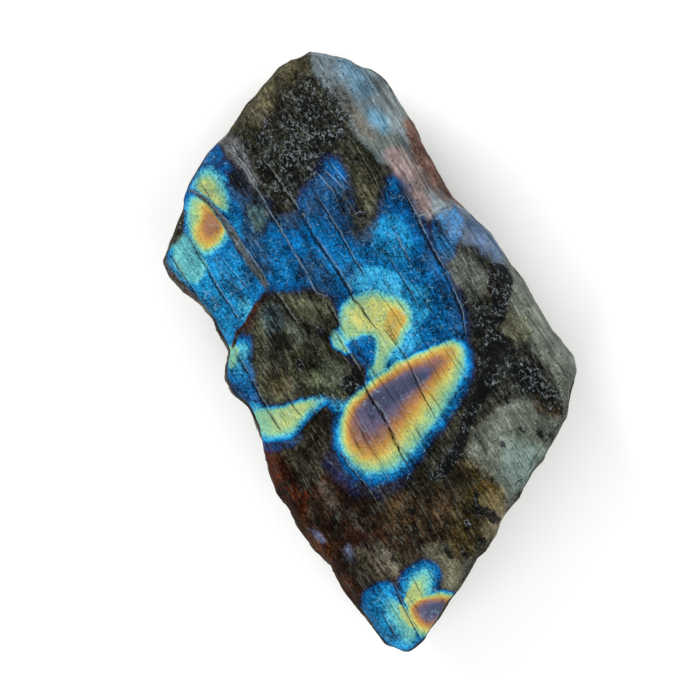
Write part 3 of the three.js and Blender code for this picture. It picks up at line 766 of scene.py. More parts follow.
# Cracks: name, width, darkness, line
CRACKS = [
    ("middle crack", 0.50, 0.95, [
        (-17.9, 32), (-15.7, 29), (-14.2, 26.5), (-12.9, 24.9), (-11, 22), (-9.5, 19.5),
        (-7.9, 17), (-6, 14.4), (-4, 11.2), (-2.9, 9), (-1.5, 7.7), (-0.2, 5.4), (1, 4),
    ]),
    ("crack right of it", 0.27, 0.8, [
        (-8.5, 25.4), (-7.4, 23.7), (-6.4, 21.7), (-5.2, 20), (-4, 17.9), (-2.9, 15.7),
        (-1.5, 13.7), (-0.5, 12),
    ]),
    ("short crack", 0.20, 0.6, [
        (-6.5, 27), (-5.4, 24.5), (-4, 22), (-3.2, 20),
    ]),
    ("field crack 1", 0.22, 0.65, [
        (3.1, 15.7), (4.3, 13.7), (5.5, 11.9), (6.8, 9.9), (8.1, 7),
    ]),
    ("field crack 2", 0.20, 0.55, [
        (2.6, 11.5), (4.3, 8.7), (6, 6.7),
    ]),
    ("field crack 3", 0.18, 0.5, [
        (3.5, 21.2), (4.8, 18.7), (5.8, 16.2), (6.8, 14.5),
    ]),
    ("eye crack, right", 0.33, 0.75, [
        (2.5, 3.7), (3.8, 2), (5.1, 0.4), (6.3, -1.6), (7.1, -3.3), (8.1, -5.5), (8.8, -7.1),
        (10.1, -9.3), (10.8, -10.5),
    ]),
    ("big crack", 0.53, 1.0, [
        (-5.5, 3.2), (-4.4, 1.2), (-3.2, -0.8), (-2, -3), (-0.9, -5.5), (0.1, -7.5), (1.5, -9.6),
        (2.6, -11.3), (3.8, -13.8), (4.8, -16), (5.5, -17.6), (6.5, -19),
    ]),
    ("rim crack of the eye", 0.22, 0.5, [
        (13.5, 0.7), (14.3, -1), (15.6, -3),
    ]),
    ("haze crack", 0.27, 0.8, [
        (-5.2, -16), (-3.5, -18.8), (-1.5, -21), (0.1, -23.3), (1.8, -26),
    ]),
    ("faint eye crack", 0.20, 0.45, [
        (-2.9, -8.8), (-1.5, -11.3), (-0.5, -13.3), (0.5, -15),
    ]),
    ("edge of the blue field", 0.40, 0.9, [
        (5.6, 26.2), (7.1, 23.4), (8.5, 20.5), (9.6, 18.2), (10.8, 16), (12, 13.7), (13, 11.5),
        (14, 9.4), (15, 6.7), (15.8, 3),
    ]),
    ("left crack 1", 0.33, 0.8, [
        (-29.7, 19), (-28.4, 16.2), (-26.9, 13.9), (-25.4, 11), (-23.5, 8.2), (-21.4, 5),
    ]),
    ("left crack 2", 0.27, 0.7, [
        (-33.4, 16.7), (-31.5, 14), (-29.7, 11), (-28.2, 8.9),
    ]),
    ("left crack 3", 0.20, 0.6, [
        (-26, 17.4), (-24.2, 15), (-22, 12.5), (-19.7, 10.2),
    ]),
    ("upper eye line", 0.22, 0.6, [
        (-28, 28.2), (-26.9, 26.5), (-25.7, 24.5), (-24.7, 23.2),
    ]),
    ("ledge tail", 0.40, 0.9, [
        (-15.7, 10), (-14.4, 8.2), (-13.2, 6.2), (-11.5, 3.7),
    ]),
    ("vein crack", 0.25, 0.6, [
        (-19.4, 3.7), (-17.9, 1.2), (-16.5, -1), (-14.9, -3.8),
    ]),
    ("lower left crack", 0.30, 0.8, [
        (-22.2, 0.4), (-20.7, -2.6), (-19, -5.5), (-17.9, -7.6), (-16.5, -10), (-14.9, -12.6),
        (-14, -13.3),
    ]),
    ("strip crack", 0.23, 0.7, [
        (-13.5, -7.1), (-12.4, -9.3), (-11.2, -10.5),
    ]),
    ("olive line", 0.30, 0.8, [
        (-6.9, 8.2), (-5.9, 6.2), (-4.7, 3.7),
    ]),
    ("tip crack 1", 0.25, 0.75, [
        (4, -38), (4.8, -40.5), (6, -43), (7.1, -45), (8.5, -47.5),
    ]),
    ("tip crack 2", 0.25, 0.75, [
        (2.1, -43.3), (3.1, -45), (4.3, -47.1),
    ]),
    ("tip crack 3", 0.20, 0.6, [
        (7, -36.6), (7.8, -38.5), (8.8, -40.5),
    ]),
    ("peach line", 0.27, 0.5, [
        (3.1, 4.7), (3.8, 3.2), (4.8, 1.2),
    ]),
    ("wedge crack", 0.27, 0.8, [
        (-3.2, 35.4), (-1.9, 32.9), (0.1, 29.5), (1.5, 26.7),
    ]),
    ("crown streak 1", 0.20, 0.6, [
        (5.5, 30), (6.5, 28), (7.8, 25.7),
    ]),
    ("crown streak 2", 0.20, 0.6, [
        (7.1, 31.4), (8.5, 29), (10.1, 26),
    ]),
    ("crown streak 3", 0.23, 0.6, [
        (3.8, 32), (5.1, 30), (6.5, 27.7),
    ]),
    ("lower right crease", 0.30, 0.55, [
        (32.3, -10.8), (29.8, -13.8), (27.3, -17.1), (26, -20.5),
    ]),
    ("lower right needle", 0.30, 0.8, [
        (24, -22), (24.6, -21.3), (25.3, -20.8),
    ]),
    ("low body line 1", 0.20, 0.5, [
        (5.8, -21.3), (7.8, -24.6), (10.1, -28.6), (11.8, -31.3),
    ]),
    ("low body line 2", 0.20, 0.5, [
        (-11.5, -19.6), (-9, -23.6), (-6.5, -28),
    ]),
]

# Steps where one cleavage sheet ends: name, width, drop from its left to its right, paleness, line
# The paleness is the strength of a painted highlight: a pale stroke along the edge of each step, where the
# edge would catch the light
LEDGES = [
    ("right rim edge", 0.23, 0.25, 0.6, [
        (22.6, 15), (24.1, 13), (25.6, 10.5), (27.1, 8.2), (28.6, 5.9), (30, 3.7),
    ]),
    ("upper ledge", 0.27, 0.5, 0.65, [
        (-23.5, 33.7), (-22.2, 32), (-19.9, 29), (-17.5, 25.4), (-16.5, 23.2), (-14.9, 21),
        (-13, 17.5), (-11.5, 15), (-10.2, 12.9), (-9.2, 10.4), (-8.2, 9.4), (-5.5, 9.2),
    ]),
    ("lower ledge", 0.33, 0.55, 0.6, [
        (-30.9, 27.4), (-28.9, 26.5), (-27, 25.5), (-25.7, 24), (-24.5, 22.7), (-23.2, 21.4),
        (-21.9, 19.4), (-20.5, 17.2), (-19, 15.2), (-17.7, 13.2), (-16.5, 11),
    ]),
    ("brown vein", 0.67, -0.3, 0.0, [
        (-17.2, 9.5), (-18.5, 7), (-19.5, 5.4), (-21, 3.7), (-21.9, 2.5), (-22.5, 0.9),
    ]),
    ("crown foot", 0.67, 0.0, 0.6, [
        (7.8, 22.4), (10.1, 22.9), (11.8, 23.2), (13.5, 23.7), (14.5, 25.4),
    ]),
]

# Bright hairline scratches
SCRATCHES = [
    [(-7.4, 30), (-5.9, 28.7), (-4, 26.7)],
    [(-6.2, 31), (-4.9, 29.4), (-3.5, 27.7)],
    [(-8.5, 29.4), (-7.2, 28), (-5.9, 26.4)],
    [(4.5, 19.4), (5.1, 18), (5.8, 16.7)],
    [(-11.5, 37), (-10.5, 36), (-9.2, 35.4)],
    [(-22.9, 33), (-20.9, 31.4), (-19.2, 29)],
]

# The main cleavage face: height at the middle in mm, dip and the way it falls in degrees
FACE_HEIGHT = 23.5
FACE_DIP = 2.4
FACE_FALLS_TO = -72.0
FLASH_DEPTH = 3.2          # mm below the face where its flash and soot start to fade ...
FLASH_FADE = 2.0           # ... and how much lower they are gone
STAIN_DEPTHS = (7.0, 13.0) # mm below the face where the ground colours start to fade and are gone
DRIFT_DEPTH = 1.5          # mm below the face where the zones start to drift sideways ...
DRIFT_SPAN = 12.0          # ... and over how many mm the drift grows

# How far zones stray from their curves, in parts of EDGE_WANDER: in fine and wide waves, and by
# the drift down the sides
FLASH_DRIFT = 1.2
STAIN_FINE = 1.6
STAIN_WIDE = 3.0
STAIN_DRIFT = 2.0
DEPTH_WANDER = 3.0         # mm by which the depths of the zones vary round the stone
FLASH_DEPTH_SHARE = 0.3    # share of that which the flash's depth takes

# Heights from the girdle between which a change takes place, in mm
RISE_SPAN = (-3.0, 1.0)    # from rough side to cleavage face
CALM_SPAN = (-5.0, -1.0)   # from full breaks to calmer ones
CALM_SHARE = 0.75          # share of the breaks' depth that is lost above it

# Parts of the torn sides' depth: height of a block less its middle, lumps, splinters, and a lift
LAYER_WANDER = 0.9
BLOCK_WANDER = 0.35
BLOCK_MIDDLE = 0.6
BLOCK_SHARE = 1.1
LUMP_SHARE = 0.7
SPLINTER_SHARE = 0.9
BREAK_LIFT = 0.15

# Parts of the face's relief and of the pits' depth
WIDE_WAVE_SHARE = 1.3
UNEVEN_SHARE = 0.6
CRUST_SHARE = 0.35
PIT_OFFSET = 0.2

# Sizes of the breaks and marks, in mm
LAYER_THICKNESS = 1.9      # cleavage sheets torn off at the sides
BLOCK_WIDTH = 6.5          # how wide the torn blocks of a sheet are
LEDGE_REACH = 3.5          # how far a ledge's sheet bends away from its edge
EDGE_WANDER = 0.28         # raggedness of every zone's edge
CRACK_REACH = 0.55         # how far past a crack's side its marking is kept
SCRATCH_WIDTH = 0.16
GROOVE_DEPTH = 0.22
MOST_HALF_WIDTHS = 9.0     # distances from a stroke are kept up to this many half-widths
SHORTEST_HALF = 0.2        # share of its half-width that a stroke keeps at its ends
FINE_SLOPE = 0.35          # faces that look up more than this get the fine mesh
FACE_SLOPES = (0.3, 0.62)  # upward share of the normal from rough side to cleavage face
STAIN_SLOPES = (-0.3, 0.0) # and from plain underside to stained side

# Where the camera stands over, and how strong the lights are
VIEW_CENTRE = (-3.21, 0.375)   # mm
SENSOR_WIDTH = 36.0            # mm, as the lens is
CLIP_END = 20.0                # m
SOFT_BOXES = [
    # name, place in m, width in m, power in W
    ("key light", (-0.85, 0.75, 0.80), 0.8, 15.0),
    ("right light", (0.95, 0.45, 0.80), 0.9, 7.0),
    ("left light", (-0.70, -0.85, 0.80), 0.9, 9.0),
    ("low right light", (0.80, -0.80, 0.80), 0.9, 7.0),
]
ROOM_LIGHT = 0.45

# What the flash looks like from none to the innermost ring
FLASH_COLOURS = [
    (0.00, "#05090d"), (0.10, "#1a2350"), (0.18, "#0b4a80"), (0.26, "#0766a6"), (0.36, "#2494cc"),
    (0.44, "#62c2cb"), (0.52, "#97c896"), (0.60, "#c8cb76"), (0.67, "#cda953"), (0.75, "#b8844b"),
    (0.83, "#906a60"), (0.91, "#68607a"), (1.00, "#454e68"),
]

# Patterns of the feldspar: size of the lumps in mm, detail, roughness, how many times longer they
# are along the cleavage, across it and up, and stops where the noise stands for a mark, not a value
PATTERNS = {
    "clouds": (5.0, 6.0, 0.6, (1.0, 1.0, 1.0), None),
    "patches": (2.0, 5.0, 0.65, (1.6, 1.0, 1.2), None),
    # Real grains are finer than 0.2 mm; drawn at 0.4 mm so that they show
    "grains": (0.4, 2.0, 0.75, (1.0, 1.0, 1.0), None),
    "strokes": (0.5, 4.0, 0.7, (4.5, 1.0, 1.5), None),
    "streaks": (0.5, 4.0, 0.65, (8.0, 1.0, 4.0), None),
    # Splinters that stand up: fibres along the cleavage, lint in all directions, both in tufts
    "tufts": (3.0, 4.0, 0.65, (1.0, 1.0, 1.0), [(0.43, 0.0), (0.58, 1.0)]),
    "pieces": (0.6, 2.0, 0.6, (1.0, 1.0, 1.0), [(0.47, 0.0), (0.56, 1.0)]),
    "lint": (0.9, 3.0, 0.65, (1.5, 1.0, 1.2), [(0.455, 0.0), (0.49, 1.0), (0.51, 1.0), (0.545, 0.0)]),
    "fibres": (0.42, 4.0, 0.65, (5.0, 1.0, 3.0), [(0.52, 0.0), (0.68, 1.0)]),
    # Dark hairlines, 0.1 mm wide, along the cleavage
    "hairlines": (2.2, 3.0, 0.5, (24.0, 1.0, 5.0), [
        (0.488, 0.0), (0.4964, 1.0), (0.5036, 1.0), (0.512, 0.0)]),
    # Scallops 2 mm wide, where the glassy sheets have chipped in arcs
    "chips": (1.1, 4.0, 0.7, (1.0, 1.0, 1.0), [(0.50, 0.0), (0.62, 1.0)]),
    "scallops": (1.9, 3.0, 0.65, (1.0, 1.5, 1.0), [
        (0.478, 0.0), (0.493, 1.0), (0.507, 1.0), (0.522, 0.0)]),
    # Black granules of 0.1 to 0.7 mm
    "granules": (0.7, 4.0, 0.75, (1.0, 1.0, 1.0), None),
    # Rusty, dark and pale weathering of the sides and the back
    "weathering": (9.0, 5.0, 0.6, (1.0, 1.0, 1.0), [
        (0.32, "#2b271d"), (0.42, "#4a4a3e"), (0.52, "#676a5c"), (0.60, "#5a5a4a"), (0.70, "#4a3019")]),
    "jitter": (0.7, 3.0, 0.6, (1.0, 1.0, 1.0), None),
    "gaps": (1.8, 4.0, 0.7, (1.0, 1.0, 1.0), [(0.38, 0.0), (0.52, 1.0)]),
}
SPECK_SPACING = 1.1        # mm between small dark inclusions

# The vector attributes that the material reads, and what it reads from each
MARKED = {
    "flash": ("order", "strength"),
    "crack": ("crack side", "crack window", "crack weight"),
    # The edge's third field is the ledge's paleness, the strength of its painted highlight
    "edge": ("edge side", "edge window", "edge highlight"),
    "scratch": ("scratch side", "scratch window"),
    "surface": ("soot", "fresh", "steep"),
}

# Sums of patterns and attributes: a plain number, and the share of each
SUMS = {
    "tone": (0.0, {"clouds": 0.25, "strokes": 0.4, "grains": 0.35}),
    "haze": (0.0, {"clouds": 0.45, "streaks": 0.55}),
    "glow": (0.0, {"clouds": 0.25, "patches": 0.2, "grains": 0.35, "strokes": 0.2}),
    "shown order": (-0.14, {"order": 1.0, "clouds": 0.08, "patches": 0.12, "grains": 0.08}),
    "dithered order": (-0.07, {"shown order": 1.0, "patches": 0.084, "grains": 0.056}),
    "dithered strength": (-0.5, {"strength": 1.0, "patches": 0.6, "grains": 0.4}),
    "granular soot": (-1.3, {"soot": 1.0, "granules": 2.6}),
    "crack place": (-0.0833, {"crack side": 1.0, "jitter": 0.1667}),
    "edge place": (-0.0833, {"edge side": 1.0, "jitter": 0.1667}),
    "scratch place": (-0.0833, {"scratch side": 1.0, "jitter": 0.1667}),
    "roughness": (0.12, {"steep": 0.4, "grains": 0.5}),
}

# What those values stand for: the value that is read, and its stops. Places
# on cracks, edges and scratches are 0.5 on the line and 18 half-widths from 0 to 1.
RAMPS = {
    "clear": ("ground", [(0.03, 0.0), (0.17, 0.72)]),
    "cloudy": ("ground", [(0.03, 1.0), (0.17, 0.25)]),
    "dark ground": ("ground", [(0.01, 0.15), (0.03, 0.35), (0.17, 0.1)]),
    "grainy light": ("tone", [(0.41, 0.02), (0.47, 0.36), (0.53, 0.9), (0.59, 2.4)]),
    "clear light": ("haze", [(0.38, 0.42), (0.47, 0.74), (0.53, 0.94), (0.62, 1.35)]),
    "cloud light": ("clouds", [(0.40, 0.6), (0.60, 1.3)]),
    "dense soot": ("granular soot", [(0.30, 0.0), (0.70, 1.0)]),
    "sooty": ("soot", [(0.10, 0.0), (0.50, 1.0)]),
    "fresh break": ("fresh", [(0.30, 0.0), (0.90, 1.0)]),
    "flash colour": ("shown order", FLASH_COLOURS),
    "uneven glow": ("glow", [(0.42, 0.08), (0.47, 0.4), (0.53, 0.75), (0.58, 1.15)]),
    "even": ("shown order", [(0.34, 0.0), (0.50, 0.6)]),
    "reached": ("dithered order", [(0.02, 0.0), (0.19, 1.0)]),
    "whole": ("dithered strength", [(0.05, 0.0), (0.85, 1.0)]),
    # Where the painted highlight along a ledge's edge lies, across its line
    "on edge": ("edge place", [(0.439, 0.0), (0.483, 1.0), (0.517, 1.0), (0.561, 0.0)]),
    "on crack": ("crack place", [(0.439, 0.0), (0.472, 1.0), (0.528, 1.0), (0.561, 0.0)]),
    # Painted highlight: a pale strip 1 to 2.8 half-widths left of each crack's line, where the crack's wall
    # would catch the light
    "painted lip highlight": ("crack place", [(0.556, 0.0), (0.594, 1.0), (0.617, 1.0), (0.656, 0.0)]),
    "on scratch": ("scratch place", [(0.428, 0.0), (0.472, 1.0), (0.528, 1.0), (0.572, 0.0)]),
    "part gaps": ("gaps", [(0.0, 0.4), (1.0, 1.0)]),
}

# The index of refraction is feldspar's. The specular level is not: 0.5 would reflect as that
# index does, and this is set far lower so that the pale room leaves the dark parts dark.
FELDSPAR_IOR = 1.56
FELDSPAR_SPECULAR = 0.02
RELIEF_DISTANCE = 0.2          # mm
RELIEF_STRENGTH = 0.9

# Height of the fine relief, in parts of the bump's distance
RELIEF = {"grains": 0.7, "streaks": 0.4, "on crack": -0.6, "scallops": 0.2, "fibres": 0.2}


# ---------------------------------------------------------------------------------------------
# Settings
# ---------------------------------------------------------------------------------------------

def linear(hex_colour):
    """An sRGB hex colour as linear red, green, blue and an alpha of 1."""
    channels = [int(hex_colour[at:at + 2], 16) / 255 for at in (1, 3, 5)]
    return tuple(c / 12.92 if c <= 0.04045 else ((c + 0.055) / 1.055) ** 2.4 for c in channels) + (1.0,)


class StoneSettings(bpy.types.PropertyGroup):
    """Sizes and colours of the stone."""

    mesh_size: bpy.props.FloatProperty(
        name="Mesh size", description="Spacing of the stone's even mesh; the face gets half of it",
        default=0.62 * MM, min=0.4 * MM, unit="LENGTH")
    break_depth: bpy.props.FloatProperty(
        name="Break depth", description="How deep the layered breaks of the sides are",
        default=0.55 * MM, unit="LENGTH")
    face_relief: bpy.props.FloatProperty(
        name="Face relief", description="Height of the fine waves of the cleavage face",
        default=0.07 * MM, unit="LENGTH")
    pit_depth: bpy.props.FloatProperty(
        name="Pit depth", description="Depth of the pits among the black inclusions",
        default=0.25 * MM, unit="LENGTH")
    base_colour: bpy.props.FloatVectorProperty(
        name="Base colour", description="Feldspar where nothing else lies on it",
        default=linear("#2a261b"), size=4, subtype="COLOR")
    soot_colour: bpy.props.FloatVectorProperty(
        name="Inclusion colour", description="Dense black inclusions",
        default=linear("#08090a"), size=4, subtype="COLOR")
    side_colour: bpy.props.FloatVectorProperty(
        name="Side colour", description="Freshly broken feldspar of the sides and the back",
        default=linear("#5c5d51"), size=4, subtype="COLOR")


class StageSettings(bpy.types.PropertyGroup):
    """Floor, lights and camera."""

    floor_colour: bpy.props.FloatVectorProperty(
        name="Floor colour", description="Plain pale floor",
        default=linear("#f7f7f6"), size=4, subtype="COLOR")
    floor_width: bpy.props.FloatProperty(
        name="Floor width", description="Side of the square floor", default=6.0, unit="LENGTH")
    view_width: bpy.props.FloatProperty(
        name="View width", description="Width that the camera takes in at the stone's girdle",
        default=116.67 * MM, unit="LENGTH")
    lens: bpy.props.FloatProperty(
        name="Lens", description="Focal length; long, as for a product close-up",
        default=300.0, unit="CAMERA")


# ---------------------------------------------------------------------------------------------
# Plan curves and noise
# ---------------------------------------------------------------------------------------------

def smooth_loop(points):
    """A closed curve close to the points given, with its corners cut off once."""
    curve = np.array(points, dtype=float)
    following = np.roll(curve, -1, axis=0)
    cut = np.stack((0.8 * curve + 0.2 * following, 0.2 * curve + 0.8 * following), axis=1)
    return cut.reshape(-1, 2)


def smooth_line(points):
    """An open line close to the points given, with its corners cut off once and its ends kept."""
    line = np.array(points, dtype=float)
    near = 0.75 * line[:-1] + 0.25 * line[1:]
    far = 0.25 * line[:-1] + 0.75 * line[1:]
    middle = np.stack((near, far), axis=1).reshape(-1, 2)
    return np.vstack((line[:1], middle, line[-1:]))


def ease(low, high, values):
    """A smooth step from 0 at low to 1 at high."""
    share = np.clip((values - low) / (high - low), 0.0, 1.0)
    return share * share * (3.0 - 2.0 * share)


def bumps(points, spacing, seed):
    """Smooth noise from -1 to 1 at each point, with its lumps about spacing apart."""
    shift = Vector((seed * 7.31, seed * 3.17, seed * 11.7))
    return np.array([noise.noise(Vector(point) + shift) for point in points / spacing])


def depth_inside(plan, loop):
    """How deep each plan point lies inside a closed curve, in mm; negative outside it."""
    nearest = np.full(len(plan), np.inf)
    inside = np.zeros(len(plan), dtype=bool)
    x, y = plan[:, 0], plan[:, 1]
    for (ax, ay), (bx, by) in zip(loop, np.roll(loop, -1, axis=0)):
        ex, ey = bx - ax, by - ay
        along = np.clip(((x - ax) * ex + (y - ay) * ey) / (ex * ex + ey * ey + 1e-12), 0.0, 1.0)
        nearest = np.minimum(nearest, (x - ax - along * ex) ** 2 + (y - ay - along * ey) ** 2)
        if ay != by:
            inside ^= ((ay > y) != (by > y)) & (x < ax + ex * (y - ay) / ey)
    return np.where(inside, 1.0, -1.0) * np.sqrt(nearest)


def near_loop(plan, loop, margin):
    """Which plan points lie in a curve's box, widened by a margin."""
    low, high = loop.min(axis=0) - margin, loop.max(axis=0) + margin
    return np.where(np.all((plan > low) & (plan < high), axis=1))[0]


def cover_of(plan, points, edge):
    """0 outside a closed curve to 1 inside it, over an edge that straddles it."""
    loop = smooth_loop(points)
    chosen = near_loop(plan, loop, edge)
    cover = np.zeros(len(plan))
    cover[chosen] = ease(-edge / 2, edge / 2, depth_inside(plan[chosen], loop))
    return cover


def order_of(plan, levels, edge):
    """Order of the flash over one patch: nought outside, then even between its nested curves."""
    outer = smooth_loop(levels[0][1])
    chosen = near_loop(plan, outer, edge)
    spots = plan[chosen]
    depth = depth_inside(spots, outer)
    order = levels[0][0] * np.clip(1.0 + depth / edge, 0.0, 1.0)
    for (low, _), (high, points) in zip(levels, levels[1:]):
        inner = depth_inside(spots, smooth_loop(points))
        band = (depth > 0) & (inner <= 0)
        share = depth / np.maximum(depth - inner, 1e-6)
        order = np.where(band, low + (high - low) * share, order)
        order = np.where(inner > 0, high, order)
        depth = inner
    whole = np.zeros(len(plan))
    whole[chosen] = order
    return whole


def along_line(plan, points, reach):
    """For the plan points within reach of an open line: which they are, how far to the left of it
    they lie, and what share of its length they lie along it."""
    line = smooth_line(points)
    chosen = near_loop(plan, line, reach)
    lengths = np.linalg.norm(np.diff(line, axis=0), axis=1)
    travelled = np.concatenate(([0.0], np.cumsum(lengths)))
    nearest = np.full(len(chosen), np.inf)
    left = np.full(len(chosen), np.inf)
    share = np.zeros(len(chosen))
    for start, end, before, length in zip(line[:-1], line[1:], travelled, lengths):
        along = (end - start) / length
        offset = plan[chosen] - start
        run = np.clip(offset @ along, 0.0, length)
        gap = np.linalg.norm(offset - run[:, None] * along, axis=1)
        side = np.where(offset[:, 1] * along[0] - offset[:, 0] * along[1] < 0, -1.0, 1.0)
        closer = gap < nearest
        nearest = np.where(closer, gap, nearest)
        left = np.where(closer, side * gap, left)
        share = np.where(closer, (before + run) / travelled[-1], share)
    return chosen, left, share


def stroke_field(plan, strokes, reach):
    """The nearest stroke at each plan point, for strokes of (width, weight, line).

    Gives how far to the left of the line the point lies in half-widths, a window that is 1 on the
    stroke and 0 past its reach, and the stroke's weight. The signed distance passes evenly
    through nought on the line, so a crack finer than the mesh still comes out as a clean line.
    """
    field = np.tile((MOST_HALF_WIDTHS, 0.0, 0.0), (len(plan), 1))
    nearest = np.full(len(plan), np.inf)
    for width, weight, points in strokes:
        chosen, left, share = along_line(plan, points, width / 2 + reach)
        gap = np.abs(left)
        half = width / 2 * np.clip(6.0 * share * (1.0 - share) + SHORTEST_HALF, SHORTEST_HALF, 1.0)
        window = np.clip((half + reach - gap) / (reach * 0.6), 0.0, 1.0)
        closer = gap < nearest[chosen]
        at = chosen[closer]
        nearest[at] = gap[closer]
        field[at, 0] = np.clip(left / half, -MOST_HALF_WIDTHS, MOST_HALF_WIDTHS)[closer]
        field[at, 1] = window[closer]
        field[at, 2] = weight
    return field


# ---------------------------------------------------------------------------------------------
# The stone's mesh
# ---------------------------------------------------------------------------------------------

def even_copy(source, mesh_size):
    """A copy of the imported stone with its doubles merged, remeshed evenly all over."""
    shape = bmesh.new()
    shape.from_mesh(source.data)
    bmesh.ops.remove_doubles(shape, verts=shape.verts, dist=0.001 * MM)
    rough = bpy.data.meshes.new(PIECE)
    shape.to_mesh(rough)
    shape.free()
    piece = bpy.data.objects.new(PIECE, rough)
    bpy.context.scene.collection.objects.link(piece)
    remesh = piece.modifiers.new("Even mesh", "REMESH")
    remesh.mode = "VOXEL"
    remesh.voxel_size = mesh_size
    seen = piece.evaluated_get(bpy.context.evaluated_depsgraph_get())
    piece.data = bpy.data.meshes.new_from_object(seen)
    piece.modifiers.clear()
    bpy.data.meshes.remove(rough)
    return piece


def refine_face(piece):
    """Splits every face of the mesh that looks up into four, for the detail of the cleavage."""
    shape = bmesh.new()
    shape.from_mesh(piece.data)
    upper = [
        face for face in shape.faces
        if face.normal.z > FINE_SLOPE and face.calc_center_median().z > GIRDLE_HEIGHT
    ]
    edges = list({edge for face in upper for edge in face.edges})
    bmesh.ops.subdivide_edges(shape, edges=edges, cuts=1, use_grid_fill=True)
    shape.to_mesh(piece.data)
    shape.free()


def read_points(mesh):
    """The mesh's points in mm and their normals, as arrays."""
    points = np.empty(len(mesh.vertices) * 3)
    normals = np.empty(len(mesh.vertices) * 3)
    mesh.vertices.foreach_get("co", points)
    mesh.vertices.foreach_get("normal", normals)
    return points.reshape(-1, 3) / MM, normals.reshape(-1, 3)


def across_and_along(plan):
    """Plan places turned so that the first runs across the cleavage lines, the second along."""
    turn = math.radians(CLEAVAGE_DEGREES)
    along = np.array((math.cos(turn), math.sin(turn)))
    across = np.array((-along[1], along[0]))
    return plan @ across, plan @ along


def face_height(plan):
    """Height of the stone's main cleavage face over a plan place, in mm."""
    fall = math.radians(FACE_FALLS_TO)
    downhill = np.array((math.cos(fall), math.sin(fall)))
    return FACE_HEIGHT - math.tan(math.radians(FACE_DIP)) * (plan @ downhill)


def flash_field(plan, face_share):
    """Order of the flash, how much of it shows and how much crust hides it."""
    order = np.zeros(len(plan))
    for _, edge, levels in FLASH_PATCHES:
        order = np.maximum(order, order_of(plan, levels, edge))
    strength = face_share.copy()
    for _, share, edge, points in DIMMED:
        strength *= 1.0 - (1.0 - share) * cover_of(plan, points, edge)
    crust = np.zeros(len(plan))
    for _, _, edge, points in COVERS:
        crust = np.maximum(crust, cover_of(plan, points, edge))
    return np.stack((order, strength * (1.0 - crust), crust), axis=1)


def ground_colours(plan, base_colour):
    """The stone's colour at each point, in linear light; the crown face, the right rim and the lower
    ledge's band hold painted light as well.
    """
    colours = np.tile(np.array(base_colour), (len(plan), 1))
    layers = [(colour, edge, most, points) for _, colour, edge, most, points in GROUND]
    layers += [(colour, edge, 1.0, points) for _, colour, edge, points in COVERS]
    layers += [(colour, edge, most, points) for _, colour, edge, most, points in COVER_TINTS]
    for colour, edge, most, points in layers:
        cover = (most * cover_of(plan, points, edge))[:, None]
        colours = colours * (1.0 - cover) + np.array(linear(colour)) * cover
    return colours


def soot_density(plan):
    """How dense the black inclusions are, 0 to 1."""
    density = np.zeros(len(plan))
    for _, most, edge, points in SOOT:
        density = np.maximum(density, most * cover_of(plan, points, edge))
    across, along = across_and_along(plan)
    for x, y, length, width in SPOTS:
        spot_across, spot_along = across_and_along(np.array([(x, y)]))
        reach = np.hypot((along - spot_along) / (length / 2), (across - spot_across) / (width / 2))
        density = np.maximum(density, ease(1.5, 0.7, reach))
    return density


def step_heights(plan):
    """Height in mm that the broken cleavage sheets add, high on one side of each ledge."""
    heights = np.zeros(len(plan))
    for _, width, drop, _, points in LEDGES:
        chosen, left, share = along_line(plan, points, LEDGE_REACH * 3)
        ends = ease(0.0, 0.15, share) * ease(1.0, 0.85, share)
        fall = np.exp(-np.abs(left) / LEDGE_REACH)
        heights[chosen] += drop / 2 * np.tanh(left / (width * 0.4)) * fall * ends
    return heights


def side_breaks(points, depth):
    """How far the rough sides and the back stand out, in mm: torn layers, lumps and splinters."""
    wander = bumps(points, 7.0, 12)
    level = points[:, 2] / LAYER_THICKNESS + LAYER_WANDER * wander
    layer = np.floor(level)
    shift = np.stack((wander, bumps(points, 5.0, 13)), axis=1)
    plan = points[:, :2] / BLOCK_WIDTH + BLOCK_WANDER * shift
    blocks = np.array([noise.cell(Vector((x, y, k * 1.37))) for (x, y), k in zip(plan, layer)])
    lip = ease(0.0, 0.25, level - layer) * ease(1.0, 0.8, level - layer)
    lumps = bumps(points, 4.0, 14)
    splinters = np.abs(bumps(points, 1.7, 15))
    torn = (blocks - BLOCK_MIDDLE) * BLOCK_SHARE * lip
    return depth * (torn + LUMP_SHARE * lumps - SPLINTER_SHARE * splinters + BREAK_LIFT)


